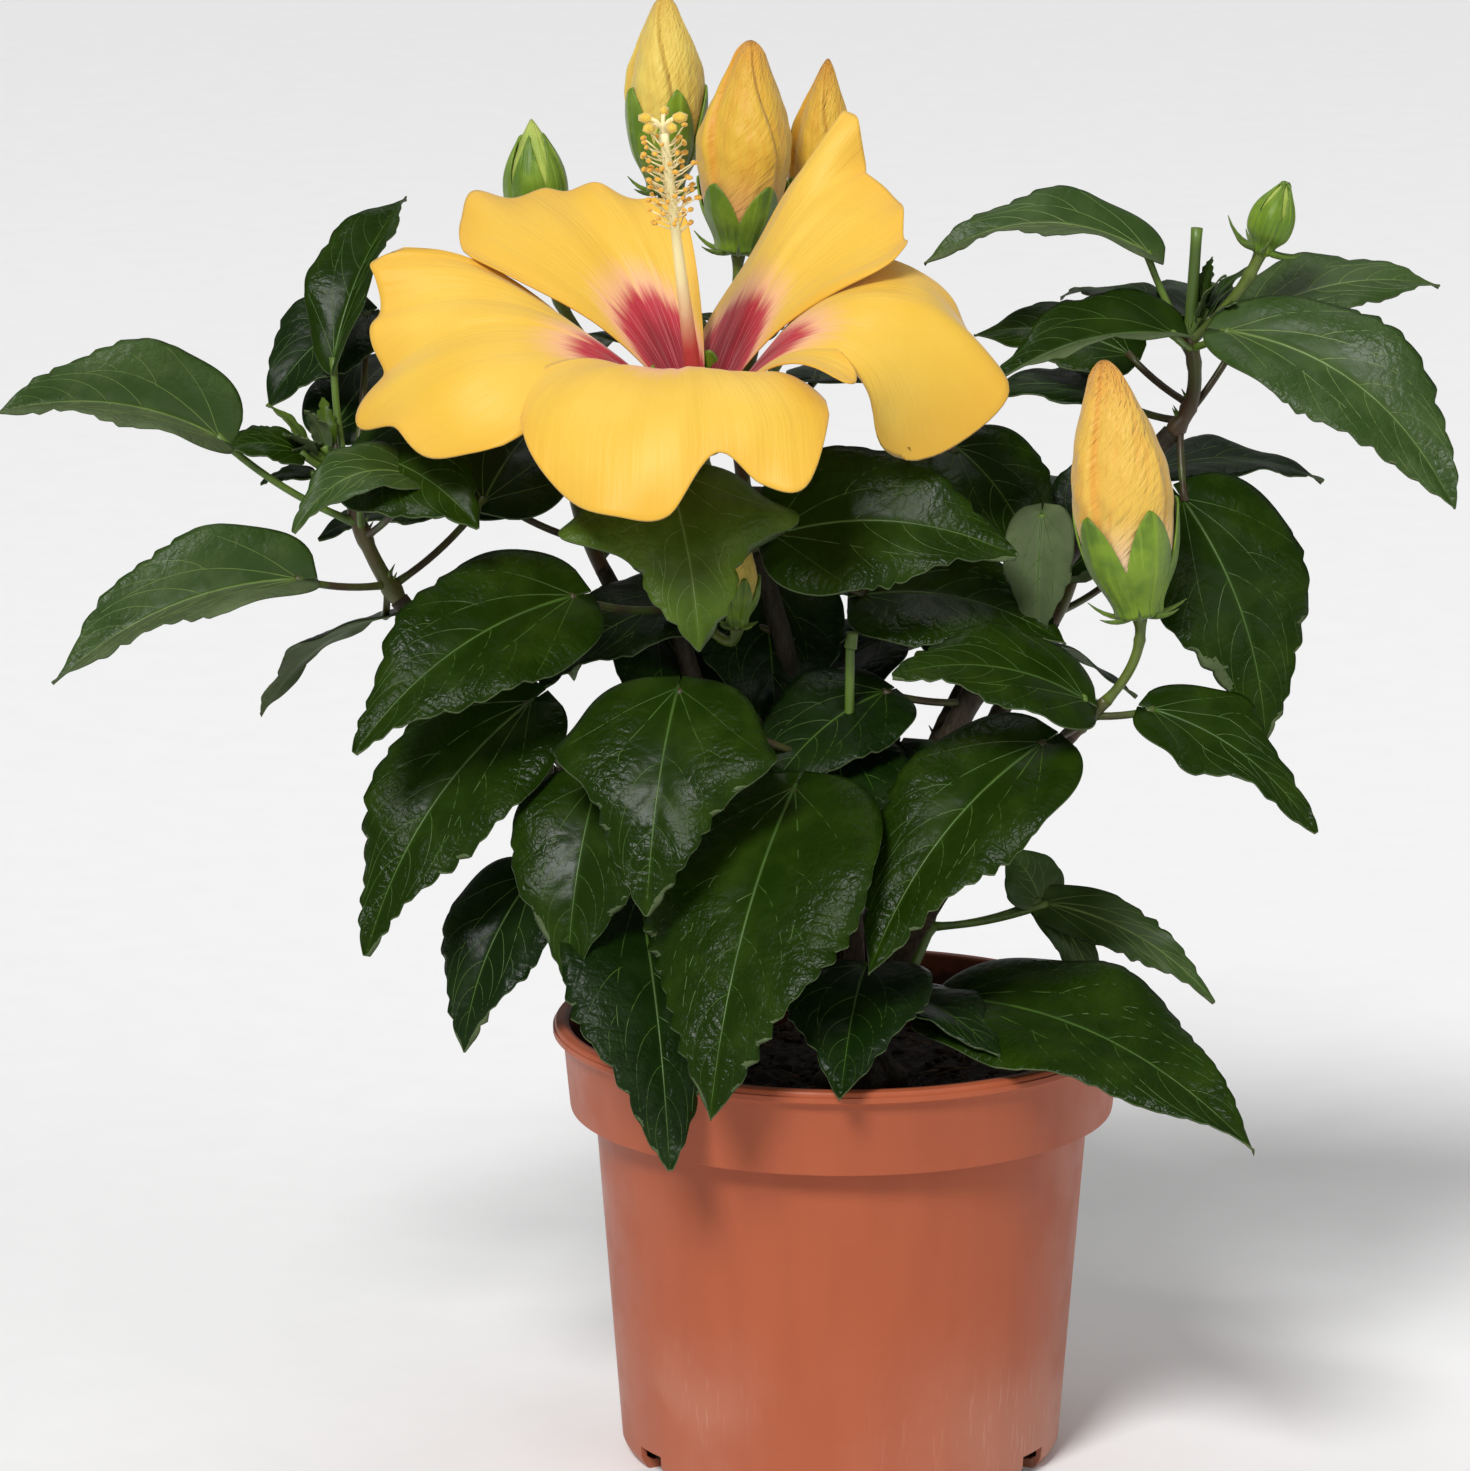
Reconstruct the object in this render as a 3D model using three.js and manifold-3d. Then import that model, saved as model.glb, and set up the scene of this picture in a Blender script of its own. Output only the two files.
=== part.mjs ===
// A potted hibiscus shrub in flower: a nursery pot with its soil, a short trunk, its boughs, the leafy
// shoots that they carry, one open bloom and the buds round it.
// Millimetres, +Z up, +X to the right and +Y away from the front. The origin is on the pot's axis, in the
// plane of its underside. Directions are [azimuth, rise] in degrees: azimuth 0 points along +X and 90 along
// +Y, and rise is above the horizon.
import * as THREE from 'three';
import { mergeVertices } from 'three/addons/utils/BufferGeometryUtils.js';
import Module from 'manifold-3d';

const wasm = await Module();
wasm.setup();

const GAP = 0.3; // clearance between two nodes that rest on each other
const CLEARED = 0.98; // the share of that gap that a cut reaches beyond a limb's end
const SEED = 7;
const GOLDEN_ANGLE = 137.5; // the turn from one leaf or anther to the next
const FINENESS = 0.12; // detail under this size is left out of a mesh
const NEXT_TO_NOTHING = 1e-6;

const POT = {
  height: 100,
  lipRadius: 65,
  lipHeight: 3.4,
  lipStep: 0.6,
  lipRound: 0.8,
  lipInset: 0.4,
  bandTopRadius: 62.8,
  bandFootRadius: 61.2,
  bandHeight: 20,
  shoulderRadius: 55.6,
  baseRadius: 49.6,
  footRadius: 48,
  chamfer: 3,
  wall: 1.4,
  floor: 2,
  sides: 36,
  drains: 6,
  drainTurn: 30,
  drainWidth: 7,
  drainHeight: 4,
  drainDepth: 7,
};
const SOIL_TOP = 86;

const TRUNK = {
  foot: [4, 0], tip: [2.5, 1, 111], rootFlare: 10, flareShare: 0.3, radius: 5.6, tipRadius: 4.4,
};

// Boughs: where each leaves the trunk (a share of the trunk's length), its direction there, where its tip
// is, and its radius at both ends.
const BOUGHS = {
  left: { at: 0.62, start: [180, 30], tip: [-99, 5, 195], radius: [3.1, 2.2] },
  left_low: { at: 0.35, start: [196, 34], tip: [-62, -6, 160], radius: [2.6, 1.9] },
  right: { at: 0.72, start: [4, 78], tip: [73, 4, 233], radius: [3.2, 2.3] },
  right_low: { at: 0.3, start: [-52, 62], tip: [50, -25, 171], radius: [2.8, 1.9] },
  right_mid: { at: 0.85, start: [20, 76], tip: [40, 16, 196], radius: [2.6, 1.8] },
  bloom: { at: 0.95, start: [172, 50], tip: [-37, 6, 190], radius: [3, 2.1] },
  crown: { at: 1, start: [150, 80], tip: [-19, 10, 205], radius: [3, 2.1] },
  front: { at: 0.5, start: [-98, 66], tip: [2, -9, 134], radius: [2.8, 2.1] },
  back_left: { at: 0.6, start: [148, 52], tip: [-54, 34, 196], radius: [2.8, 1.9] },
  back: { at: 0.25, start: [88, 50], tip: [4, 44, 170], radius: [2.6, 1.9] },
  foot: { at: 0.3, start: [-14, 34], tip: [12, -4, 104], radius: [2.6, 1.9] },
  back_right: { at: 0.45, start: [50, 58], tip: [48, 34, 184], radius: [2.7, 1.9] },
  low: { at: 0.2, start: [150, 40], tip: [-32, 26, 128], radius: [2.4, 1.8] },
};

// Leafy shoots. A shoot's stem grows on from its bough to its own tip. Each leaf says where on that stem it
// sits (0 foot, 1 tip), the direction and length of its stalk and of its blade, how far the blade is rolled
// about its midrib and folded along it, and how wide half of it is as a share of its length.
const SHOOTS = {
  left: {
    bough: 'left', tip: [-110.5, 5, 225],
    leaves: [
      { at: 0.6, stalk: [-159, 34, 38], blade: [-170, 9, 50], roll: -42, width: 0.31, fold: 38 },
      { at: 0.12, stalk: [-144, 10, 23], blade: [-165, -20, 60], roll: -42, width: 0.26, fold: 32 },
      { at: 0.15, stalk: [87, -48, 13], blade: [146, -37, 46], roll: 0, width: 0.24 },
      { at: 0.98, stalk: [120, 75, 24], blade: [56, 50, 44], roll: -10, width: 0.25, fold: 44 },
      { at: 0.8, stalk: [80, 60, 44], blade: [-154, -38, 32], roll: -30, width: 0.38 },
      { at: 0.7, stalk: [116, 49, 20], blade: [53, 26, 34], roll: 20 },
      { at: 0.5, stalk: [-55, 36, 29], blade: [-145, -14, 34], roll: -30, width: 0.24, arch: 0.2 },
      { at: 0.55, stalk: [-93, 57, 24], blade: [-37, -20, 37], roll: 40, width: 0.4 },
      { at: 0.1, stalk: [19, 39, 28], blade: [56, 26, 40], roll: 25, width: 0.4 },
      { at: 0.92, stalk: [-154, 32, 13], blade: [-153, 7, 19], roll: -40 },
    ],
  },
  left_low: {
    bough: 'left_low', tip: [-74, -7, 183],
    leaves: [
      { at: 0.5, stalk: [-87, 33, 10], blade: [-149, -51, 68], roll: -30, width: 0.26 },
      { at: 0.2, stalk: [-120, -77, 29], blade: [-138, -60, 43], roll: -20 },
      { at: 0.9, stalk: [95, 10, 22], blade: [70, -24, 44], roll: 0 },
    ],
  },
  front: {
    bough: 'front', tip: [1.5, -14, 190],
    leaves: [
      { at: 0.13, stalk: [-162, 19, 62], blade: [-108, -62, 46], roll: 0, width: 0.36 },
      { at: 0.47, stalk: [-147, 28, 51], blade: [-104, -58, 53], roll: 0, width: 0.44, fold: 8 },
      { at: 0.19, stalk: [-117, 32, 32], blade: [-113, -53, 80], roll: 4, width: 0.33, fold: 8 },
      { at: 0.06, stalk: [-152, -1, 53], blade: [-80, -46, 70], roll: 0, width: 0.3 },
    ],
  },
  bloom: {
    bough: 'bloom', tip: [-32, 6, 212],
    leaves: [
      { at: 0.12, stalk: [-131, 14, 33], blade: [-153, -29, 62], roll: -34, width: 0.3 },
      { at: 0.6, stalk: [-90, 42, 40], blade: [-67, -56, 43], roll: 0, width: 0.5, fold: 6 },
    ],
  },
  crown: {
    bough: 'crown', tip: [-20, 24, 248],
    leaves: [
      { at: 0.1, stalk: [-82, 9, 28], blade: [-9, -3, 55], roll: 52, width: 0.33 },
      { at: 0.3, stalk: [2, 12, 48], blade: [-43, -45, 36], roll: 30, width: 0.36 },
      { at: 0.12, stalk: [-27, -26, 30], blade: [-15, -10, 48], roll: 34, width: 0.34 },
      { at: 0.5, stalk: [60, 20, 34], blade: [40, -20, 46], roll: 0 },
      { at: 0.7, stalk: [130, 24, 30], blade: [120, -16, 44], roll: 0 },
    ],
  },
  right_high: {
    bough: 'right', tip: [76.4, 4, 254.7],
    leaves: [
      { at: 0.9, stalk: [-60, 27, 13], blade: [-27, -32, 66], roll: 36, width: 0.27, arch: 0.14, fold: 20 },
      { at: 0.12, stalk: [29, 53, 27], blade: [8, 9, 45], roll: 22, width: 0.3 },
      { at: 0.95, stalk: [166, 66, 21], blade: [-175, -1, 51], roll: -38, width: 0.24, arch: 0.2, fold: 28 },
      { at: 0.35, stalk: [138, 28, 19], blade: [166, 5, 36], roll: -34, width: 0.3 },
      { at: 0.9, stalk: [-109, 24, 12], blade: [-159, -11, 46], roll: -36, width: 0.28, fold: 34 },
      { at: 0.8, stalk: [103, 21, 18], blade: [129, 0, 38], roll: 0, width: 0.22 },
      { at: 0.95, stalk: [80, 17, 15], blade: [90, -3, 38], roll: 0, width: 0.22 },
      { at: 0.15, stalk: [142, 9, 20], blade: [171, -1, 30], roll: -14 },
      { at: 0.12, stalk: [-92, -48, 12], blade: [-43, -64, 60], roll: 36, width: 0.32, fold: 8 },
    ],
  },
  right_mid: {
    bough: 'right_mid', tip: [46, 22, 206],
    leaves: [
      { at: 0.5, stalk: [-20, -20, 8], blade: [41, 64, 32], roll: 30 },
    ],
  },
  foot: {
    bough: 'foot', tip: [20, 0, 121],
    leaves: [
      { at: 0.12, stalk: [-108, 28, 29], blade: [-98, -23, 48], roll: 0, width: 0.34 },
      { at: 0.1, stalk: [-113, 14, 16], blade: [-52, -6, 44], roll: 0 },
      { at: 0.1, stalk: [-61, 12, 21], blade: [-38, -14, 86], roll: 20, width: 0.24 },
      { at: 1, stalk: [14, 9, 26], blade: [-15, -27, 45], roll: 56, width: 0.13 },
      { at: 1, stalk: [14, 9, 26], blade: [-20, -60, 27], roll: 50, width: 0.16 },
      { at: 1, stalk: [14, 9, 26], blade: [150, 50, 15], roll: -30, width: 0.5 },
    ],
  },
  right_low: {
    bough: 'right_low', tip: [57.8, -28.6, 179.5],
    leaves: [
      { at: 0.6, stalk: [-103, 30, 8], blade: [-157, 12, 48], roll: -38, width: 0.27 },
      { at: 0.3, stalk: [-130, -8, 13], blade: [-146, -44, 66], roll: -22, width: 0.28 },
      { at: 0.5, stalk: [-23, 12, 14], blade: [-23, -32, 46], roll: 30, width: 0.3, fold: 16 },
    ],
  },
  back_left: {
    bough: 'back_left', tip: [-62, 44, 226],
    grown: { count: 7, turn: 60, stalk: [34, 22], blade: [-16, 46] },
  },
  back: {
    bough: 'back', tip: [2, 56, 204],
    leaves: [
      { at: 0.4, stalk: [-60, 60, 26], blade: [-168, -34, 42], roll: -10, width: 0.4 },
      { at: 0.1, stalk: [-60, 30, 14], blade: [-152, -42, 40], roll: -10, width: 0.4 },
    ],
    grown: { count: 6, turn: 10, stalk: [24, 22], blade: [-20, 48] },
  },
  back_right: {
    bough: 'back_right', tip: [54, 44, 210],
    grown: { count: 6, turn: 40, stalk: [24, 20], blade: [-16, 44] },
  },
  low: {
    bough: 'low', tip: [-42, 34, 142],
    grown: { count: 4, turn: 100, stalk: [14, 22], blade: [-26, 46] },
  },
};

// Flower buds. Each stands on a stalk from a place on a shoot's stem, and its petals are furled over a calyx
// that covers a share of its length. widest is the share at which it is widest.
const BUDS = {
  top_left: {
    from: ['crown', 0.85], base: [-39.8, 50, 278.7], tip: [-39.8, 50, 324.7],
    radius: 8.7, widest: 0.62, calyx: 0.5,
  },
  top_middle: {
    from: ['crown', 1], base: [-23.3, 34, 267.6], tip: [-20.4, 34, 316.6],
    radius: 10.6, widest: 0.58, calyx: 0.32,
  },
  top_right: {
    from: ['crown', 0.7], base: [-6.4, 48, 266.5], tip: [-3, 48, 310.5],
    radius: 7, widest: 0.6, calyx: 0.35,
  },
  side: {
    from: ['right_low', 1], base: [64.7, -30, 197.5], tip: [56, -30, 255.5],
    radius: 11.2, widest: 0.54, calyx: 0.4,
  },
  low: {
    from: ['bloom', 0.35], base: [-23.6, -5, 190], tip: [-23.3, -5, 213],
    radius: 4.4, widest: 0.6, calyx: 0.5,
  },
};

// Green buds, whose petals don't show yet. A collar of bracts stands round the foot of each.
const GREEN_BUDS = {
  green_left: { from: ['crown', 0.5], base: [-67.8, 41, 270.3], tip: [-69.8, 41, 297.8], radius: 6.4 },
  green_right: { from: ['right_high', 1], base: [91.5, 0, 273], tip: [97.5, 0, 290], radius: 4.2 },
};
const GREEN_BUD = {
  widest: 0.42, calyx: 0.6, collar: 1.25, collarHeight: 3.4, collarAt: 3.6, sides: 7, sunk: 4,
};
const BUD_FOOT = 3; // how high the furled petals start above a bud's base

// The open bloom. Its petals are set round its axis, azimuth 0 to the right and 90 to the back; each
// follows a path of [distance from the axis, height along it], from the throat over its crest to its tip.
// half is half its width, skew and lean set its two sides apart, and ruffle is the height of its rim's waves.
const BLOOM = {
  foot: [-31.8, -5, 236.5],
  axis: [-0.1, -0.39, 0.915],
  stem: ['bloom', 1],
  thickness: 1,
  petals: [
    {
      azimuth: 178, path: [[3, 0], [16, 27], [44, 44], [76, 18]],
      half: 34, skew: 0.02, lean: -5, ruffle: 2.5, phase: 0.4,
    },
    {
      azimuth: 121, path: [[3, 0], [18, 26], [38, 40], [62, 30]],
      half: 31, skew: 0.12, lean: -2, ruffle: 2.5, phase: 1.9,
    },
    {
      azimuth: 44, path: [[3, 0], [18, 26], [34, 40], [60, 50]],
      half: 27, skew: 0.08, lean: 2, ruffle: 3, phase: 3.1,
    },
    {
      azimuth: -23, path: [[3, 0], [18, 27], [46, 46], [79, 18]],
      half: 30, skew: -0.05, lean: 3, ruffle: 3, phase: 4.2,
    },
    {
      azimuth: -96, path: [[3, 0], [10, 36], [36, 40], [58, 14]],
      half: 38, skew: 0, lean: 2, ruffle: 3, phase: 5.6,
    },
  ],
  pinch: 6, // nearer to the axis than this, a petal's sides don't wrap round it
  seat: 3.8,
  calyx: 9,
  calyxNotch: 0.55,
  calyxWall: 0.9,
  calyxFlare: 0.12,
  column: 76,
  columnRadius: [2.4, 1.1],
};

// The small knobs on the column: how many there are, where the first one sits, how far apart they are set
// along it and round it, how they rise, and the length of their threads and the size of their heads.
const ANTHERS = { count: 11, first: 0.5, step: 0.04, turn: GOLDEN_ANGLE, rise: 30, length: 4.5, size: 1.1 };
const STIGMAS = { count: 5, first: 0.985, step: 0, turn: 72, rise: 40, length: 5, size: 1.4 };
const THREAD = 0.45; // radius of the thread under a knob

// A calyx: its rows run up its outside and down its inside, at these shares of its lobes' height. Its cup is
// closed up to the share cup, and its inside stands on its floor.
const CALYX = {
  rows: [0, 0, 0.2, 0.55, 1, 1, 0.55, 0, 0],
  firstInner: 5,
  firstFloor: 7,
  cup: 0.2,
  lobes: 5,
  columnsPerLobe: 4,
  floor: 2.4,
  wall: 1.15,
  thinning: 0.5,
  lining: 0.15,
  footShare: 0.6,
  notch: 0.7,
};

const STEM = [1.9, 1.4]; // radius of a shoot's stem at its foot and its tip
const FLOWER_STALK = { bloom: 1.4, green: 1.2, bud: 1.1 }; // radius

const LEAF = {
  rows: 8,
  halfWidth: 0.3,
  narrowing: [0.5, 0.9],
  thickness: 0.02,
  fold: 14,
  arch: 0.1,
  tooth: 0.06,
  stalkRadius: [0.9, 0.72],
  stalkBow: -0.05,
  stalkOverlap: 0.06,
};

const rad = THREE.MathUtils.degToRad;

// A seeded generator of numbers from 0 to 1, the same at every run.
function seeded(seed) {
  let state = seed >>> 0;
  return () => {
    state = (Math.imul(state, 1664525) + 1013904223) >>> 0;
    return state / 4294967296;
  };
}

// The unit vector of an azimuth and a rise in degrees.
function heading([azimuth, rise]) {
  const level = Math.cos(rad(rise));
  const turn = rad(azimuth);
  return new THREE.Vector3(level * Math.cos(turn), level * Math.sin(turn), Math.sin(rad(rise)));
}

// A limb's curve: it leaves its foot along a direction and bends over to its tip.
function limbCurve(foot, along, tip) {
  const bend = foot.clone().addScaledVector(along, foot.distanceTo(tip) / 2);
  return new THREE.QuadraticBezierCurve3(foot, bend, tip);
}

// A curve whose chord is given, and which bows sideways from it by a share of its length.
function bowedCurve(foot, [azimuth, rise, length], bow) {
  const along = heading([azimuth, rise]);
  const up = heading([azimuth, rise + 90]);
  const middle = foot.clone().addScaledVector(along, length / 2).addScaledVector(up, bow * length * 2);
  return new THREE.QuadraticBezierCurve3(foot, middle, foot.clone().addScaledVector(along, length));
}

// A smooth hill between 0 and 1 that is 1 at widest. low sets how fast it rises, and high how fast it falls.
function hill(t, low, high) {
  const widest = low / (low + high);
  return (t ** low * (1 - t) ** high) / (widest ** low * (1 - widest) ** high);
}

// A closed geometry as a solid, with its faces turned to point out.
function solid(geometry) {
  const bare = geometry.clone();
  bare.deleteAttribute('normal');
  bare.deleteAttribute('uv');
  const merged = mergeVertices(bare, 1e-4);
  const triangles = new Uint32Array(merged.index.array);
  const build = () => new wasm.Manifold(new wasm.Mesh({
    numProp: 3,
    vertProperties: new Float32Array(merged.attributes.position.array),
    triVerts: triangles,
  }));
  const made = build();
  if (made.volume() >= 0) return made;
  for (let i = 0; i < triangles.length; i += 3) {
    [triangles[i + 1], triangles[i + 2]] = [triangles[i + 2], triangles[i + 1]];
  }
  return build();
}

// The largest body of a solid that a cut may have left a crumb of.
function largest(shape) {
  return shape.decompose().sort((a, b) => b.volume() - a.volume())[0];
}

// A solid as a geometry for a mesh.
function geometryOf(shape) {
  const { numProp, numVert, vertProperties, triVerts } = shape.getMesh();
  const corners = new Float32Array(numVert * 3);
  for (let i = 0; i < numVert; i += 1) {
    corners.set(vertProperties.subarray(i * numProp, i * numProp + 3), i * 3);
  }
  const geometry = new THREE.BufferGeometry();
  geometry.setAttribute('position', new THREE.BufferAttribute(corners, 3));
  geometry.setIndex(new THREE.BufferAttribute(new Uint32Array(triVerts), 1));
  return geometry.toNonIndexed();
}

// Moves every corner of a geometry to where place says.
function reshape(geometry, place) {
  const { position } = geometry.attributes;
  const corner = new THREE.Vector3();
  for (let i = 0; i < position.count; i += 1) {
    corner.fromBufferAttribute(position, i);
    const { x, y, z } = place(corner);
    position.setXYZ(i, x, y, z);
  }
  return geometry;
}

// A tapering round limb along a curve, from a cylinder bent to it. radiusAt gives the radius at a share of
// its length.
function limb(curve, radiusAt, sides = 6, steps = 4) {
  const frames = curve.computeFrenetFrames(steps * 2);
  return solid(reshape(new THREE.CylinderGeometry(1, 1, 1, sides, steps), (corner) => {
    const t = corner.y + 0.5;
    const k = Math.round(t * steps * 2);
    const radius = radiusAt(t);
    return curve.getPoint(t)
      .addScaledVector(frames.normals[k], corner.x * radius)
      .addScaledVector(frames.binormals[k], corner.z * radius);
  }));
}

const taper = (foot, tip) => (t) => foot + (tip - foot) * t;

// A limb's space with the clearance that is kept round it and beyond its end.
function clearTube(curve, [thick, thin], sides, steps) {
  const end = curve.getPoint(1);
  const beyond = end.clone().addScaledVector(curve.getTangent(1), GAP * CLEARED);
  return limb(curve, taper(thick + GAP, thin + GAP), sides, steps)
    .add(limb(new THREE.LineCurve3(end, beyond), taper(thin + GAP, thin + GAP), sides, 1));
}

// A leaf blade, from a sphere of four sides drawn out along its midrib: the sides are its margins and the
// upper and lower face of its midrib.
function blade(curve, spec, spare) {
  const { rows } = LEAF;
  const length = spec.blade[2];
  const halfWidth = length * (spec.width ?? LEAF.halfWidth);
  const fold = rad(spec.fold ?? LEAF.fold);
  const across = new THREE.Vector3(Math.sin(rad(spec.blade[0])), -Math.cos(rad(spec.blade[0])), 0);
  return solid(reshape(new THREE.SphereGeometry(1, 4, rows), (corner) => {
    const t = Math.acos(THREE.MathUtils.clamp(corner.y, -1, 1)) / Math.PI;
    const ring = Math.max(Math.sqrt(1 - corner.y ** 2), NEXT_TO_NOTHING);
    const margin = corner.x / ring;
    const face = corner.z / ring;
    const along = curve.getTangent(t);
    const side = across.clone().applyAxisAngle(along, rad(spec.roll));
    const up = side.clone().cross(along);
    const tooth = Math.round(t * rows) % 2 ? 1 : 1 - LEAF.tooth;
    const half = halfWidth * hill(t, ...LEAF.narrowing) * tooth + spare;
    const thick = length * LEAF.thickness / 2 + spare;
    return curve.getPoint(t)
      .addScaledVector(side, margin * half * Math.cos(fold))
      .addScaledVector(up, Math.abs(margin) * half * Math.sin(fold) + face * thick);
  }));
}

// A leaf on a stem: its stalk, sunk into the stem, and its blade. spare swells it, to test what it would
// touch.
function leaf(stem, spec, spare = 0) {
  const root = stem.getPoint(spec.at);
  const stalk = bowedCurve(root, spec.stalk, LEAF.stalkBow);
  const midrib = bowedCurve(stalk.getPoint(1), spec.blade, spec.arch ?? LEAF.arch);
  const held = new THREE.QuadraticBezierCurve3(root, stalk.v1, midrib.getPoint(LEAF.stalkOverlap));
  const [thick, thin] = LEAF.stalkRadius;
  return limb(held, taper(thick + spare, thin + spare), 4, 2).add(blade(midrib, spec, spare));
}

// The leaves that a shoot grows by rule: set round its stem in a spiral, each nodding a little differently.
// stalk and blade give a usual leaf's [rise, length].
function grownLeaves({ count, turn, stalk, blade: [nod, size] }, random) {
  const around = (middle, reach) => middle + reach * (2 * random() - 1);
  return Array.from({ length: count }, (_, i) => {
    const azimuth = turn + GOLDEN_ANGLE * i;
    const rise = around(stalk[0], 8);
    const droop = around(nod, 10);
    const length = size * around(0.975, 0.125);
    const swing = around(0, 12);
    return {
      at: (i + 0.4) / count,
      stalk: [azimuth, rise, stalk[1]],
      blade: [azimuth + swing, droop, length],
      roll: swing,
    };
  });
}

// The pot, turned about its axis, with drains cut through the foot of its wall.
function pot() {
  const { height, lipRadius, lipHeight, lipStep, lipRound, lipInset, bandTopRadius, bandFootRadius } = POT;
  const { bandHeight, shoulderRadius, baseRadius, footRadius, chamfer, wall, floor, sides } = POT;
  const bandFoot = height - bandHeight;
  const underLip = height - lipHeight;
  const outside = [
    [0, 0], [footRadius, 0], [baseRadius, chamfer], [shoulderRadius, bandFoot], [bandFootRadius, bandFoot],
    [bandTopRadius, underLip], [lipRadius, underLip + lipStep], [lipRadius, height - lipRound],
    [lipRadius - lipRound, height],
  ];
  const inside = [
    [bandTopRadius - wall, height], [bandTopRadius - wall - lipInset, underLip],
    [bandFootRadius - wall, bandFoot + wall], [shoulderRadius - wall, bandFoot + wall / 2],
    [baseRadius - wall, chamfer], [footRadius - wall, floor], [0, floor],
  ];
  const profile = [...outside, ...inside].map(([radius, z]) => new THREE.Vector2(radius, z));
  let shell = solid(new THREE.LatheGeometry(profile, sides).rotateX(Math.PI / 2));
  const { drains, drainTurn, drainWidth, drainHeight, drainDepth } = POT;
  for (let i = 0; i < drains; i += 1) {
    const slot = new THREE.BoxGeometry(2 * drainDepth, drainWidth, 2 * drainHeight)
      .translate(footRadius + 0.5, 0, 0)
      .rotateZ(rad(drainTurn + (360 / drains) * i));
    shell = shell.subtract(solid(slot));
  }
  return shell;
}

// The potting soil, which fills the pot to below its lip.
function soil() {
  const { height, bandFootRadius, bandHeight, shoulderRadius, baseRadius, footRadius } = POT;
  const { chamfer, wall, floor } = POT;
  const ledge = height - bandHeight + wall;
  const slack = wall + GAP;
  const profile = [
    [0, floor + GAP], [footRadius - slack - 0.6, floor + GAP], [baseRadius - slack, chamfer + GAP],
    [shoulderRadius - slack, ledge - 0.5], [bandFootRadius - slack - 0.1, ledge + GAP],
    [bandFootRadius - slack, SOIL_TOP], [0, SOIL_TOP],
  ].map(([radius, z]) => new THREE.Vector2(radius, z));
  return solid(new THREE.LatheGeometry(profile, POT.sides / 2).rotateX(Math.PI / 2));
}

// Turns a shape made about +Z, with its foot at the origin, to stand at foot and to point along axis.
function standing(geometry, foot, axis) {
  const up = new THREE.Vector3(0, 0, 1);
  const turn = new THREE.Quaternion().setFromUnitVectors(up, axis.clone().normalize());
  return geometry.applyQuaternion(turn).translate(foot.x, foot.y, foot.z);
}

// How wide a petal is at a share t of its length, as a share of its greatest width.
function petalOutline(t) {
  const width = (share) => share * Math.sqrt(1 - share ** 8);
  return width(t) / width(5 ** (-1 / 8));
}

// One petal of the open bloom, wrapped round the bloom's axis.
function petal({ azimuth, path, half, skew, lean, ruffle, phase }) {
  const midrib = new THREE.CubicBezierCurve(...path.map(([out, up]) => new THREE.Vector2(out, up)));
  return reshape(new THREE.SphereGeometry(1, 12, 9), (corner) => {
    const t = (1 - corner.y) / 2;
    const ring = Math.max(Math.sqrt(1 - corner.y ** 2), NEXT_TO_NOTHING);
    const margin = corner.x / ring;
    const face = corner.z / ring;
    const { x: out, y: up } = midrib.getPoint(t * (1 + skew * margin * t));
    const along = midrib.getTangent(t);
    const turn = rad(azimuth) + (margin * half * petalOutline(t)) / Math.max(out, BLOOM.pinch);
    const crinkle = ruffle * t ** 3 * Math.abs(margin) * Math.sin(5 * margin + 9 * t + phase);
    const wave = crinkle + lean * margin * t;
    const offset = wave + (face * BLOOM.thickness) / 2;
    const distance = out - along.y * offset;
    return new THREE.Vector3(distance * Math.cos(turn), distance * Math.sin(turn), up + along.x * offset);
  });
}

// The petals of the bloom, joined by the seat that they grow from.
function bloomPetals(foot, axis) {
  let shape = solid(standing(new THREE.SphereGeometry(BLOOM.seat, 10, 6), foot, axis));
  BLOOM.petals.forEach((spec) => { shape = shape.add(solid(standing(petal(spec), foot, axis))); });
  return shape;
}

// The column that stands out of the throat, with its anthers and its five stigmas.
function bloomColumn(foot, axis) {
  const start = foot.clone().addScaledVector(axis, BLOOM.seat + GAP);
  const curve = new THREE.LineCurve3(start, foot.clone().addScaledVector(axis, BLOOM.column));
  let shape = limb(curve, taper(...BLOOM.columnRadius), 6, 2);
  for (const { count, first, step, turn, rise, length, size } of [ANTHERS, STIGMAS]) {
    for (let i = 0; i < count; i += 1) {
      const root = curve.getPoint(first + step * i);
      const tip = root.clone().addScaledVector(heading([turn * i, rise]), length);
      shape = shape.add(limb(new THREE.LineCurve3(root, tip), taper(THREAD, THREAD), 3, 1))
        .add(solid(new THREE.OctahedronGeometry(size, 0).translate(tip.x, tip.y, tip.z)));
    }
  }
  return shape;
}

// The calyx that holds the open bloom, a shallow cup under its seat, and the flower's stalk.
function bloomCalyx(foot, axis, stems) {
  const { seat, calyx, calyxNotch, calyxWall, calyxFlare, stem } = BLOOM;
  const under = foot.clone().addScaledVector(axis, -seat - GAP - CALYX.floor);
  const cup = calyxCup(calyx, calyxNotch, (z) => seat + calyxWall + calyxFlare * z);
  const stalkTop = foot.clone().addScaledVector(axis, -seat - CALYX.floor);
  return solid(standing(cup, under, axis))
    .add(flowerStalk(stems[stem[0]], stem[1], stalkTop, axis, FLOWER_STALK.bloom));
}

// How far a furled bud's side stands from its axis at a share t of its length, as a share of its greatest
// width.
function budOutline(t, widest) {
  const low = 0.6;
  return hill(t, low, (low * (1 - widest)) / widest);
}

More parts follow.
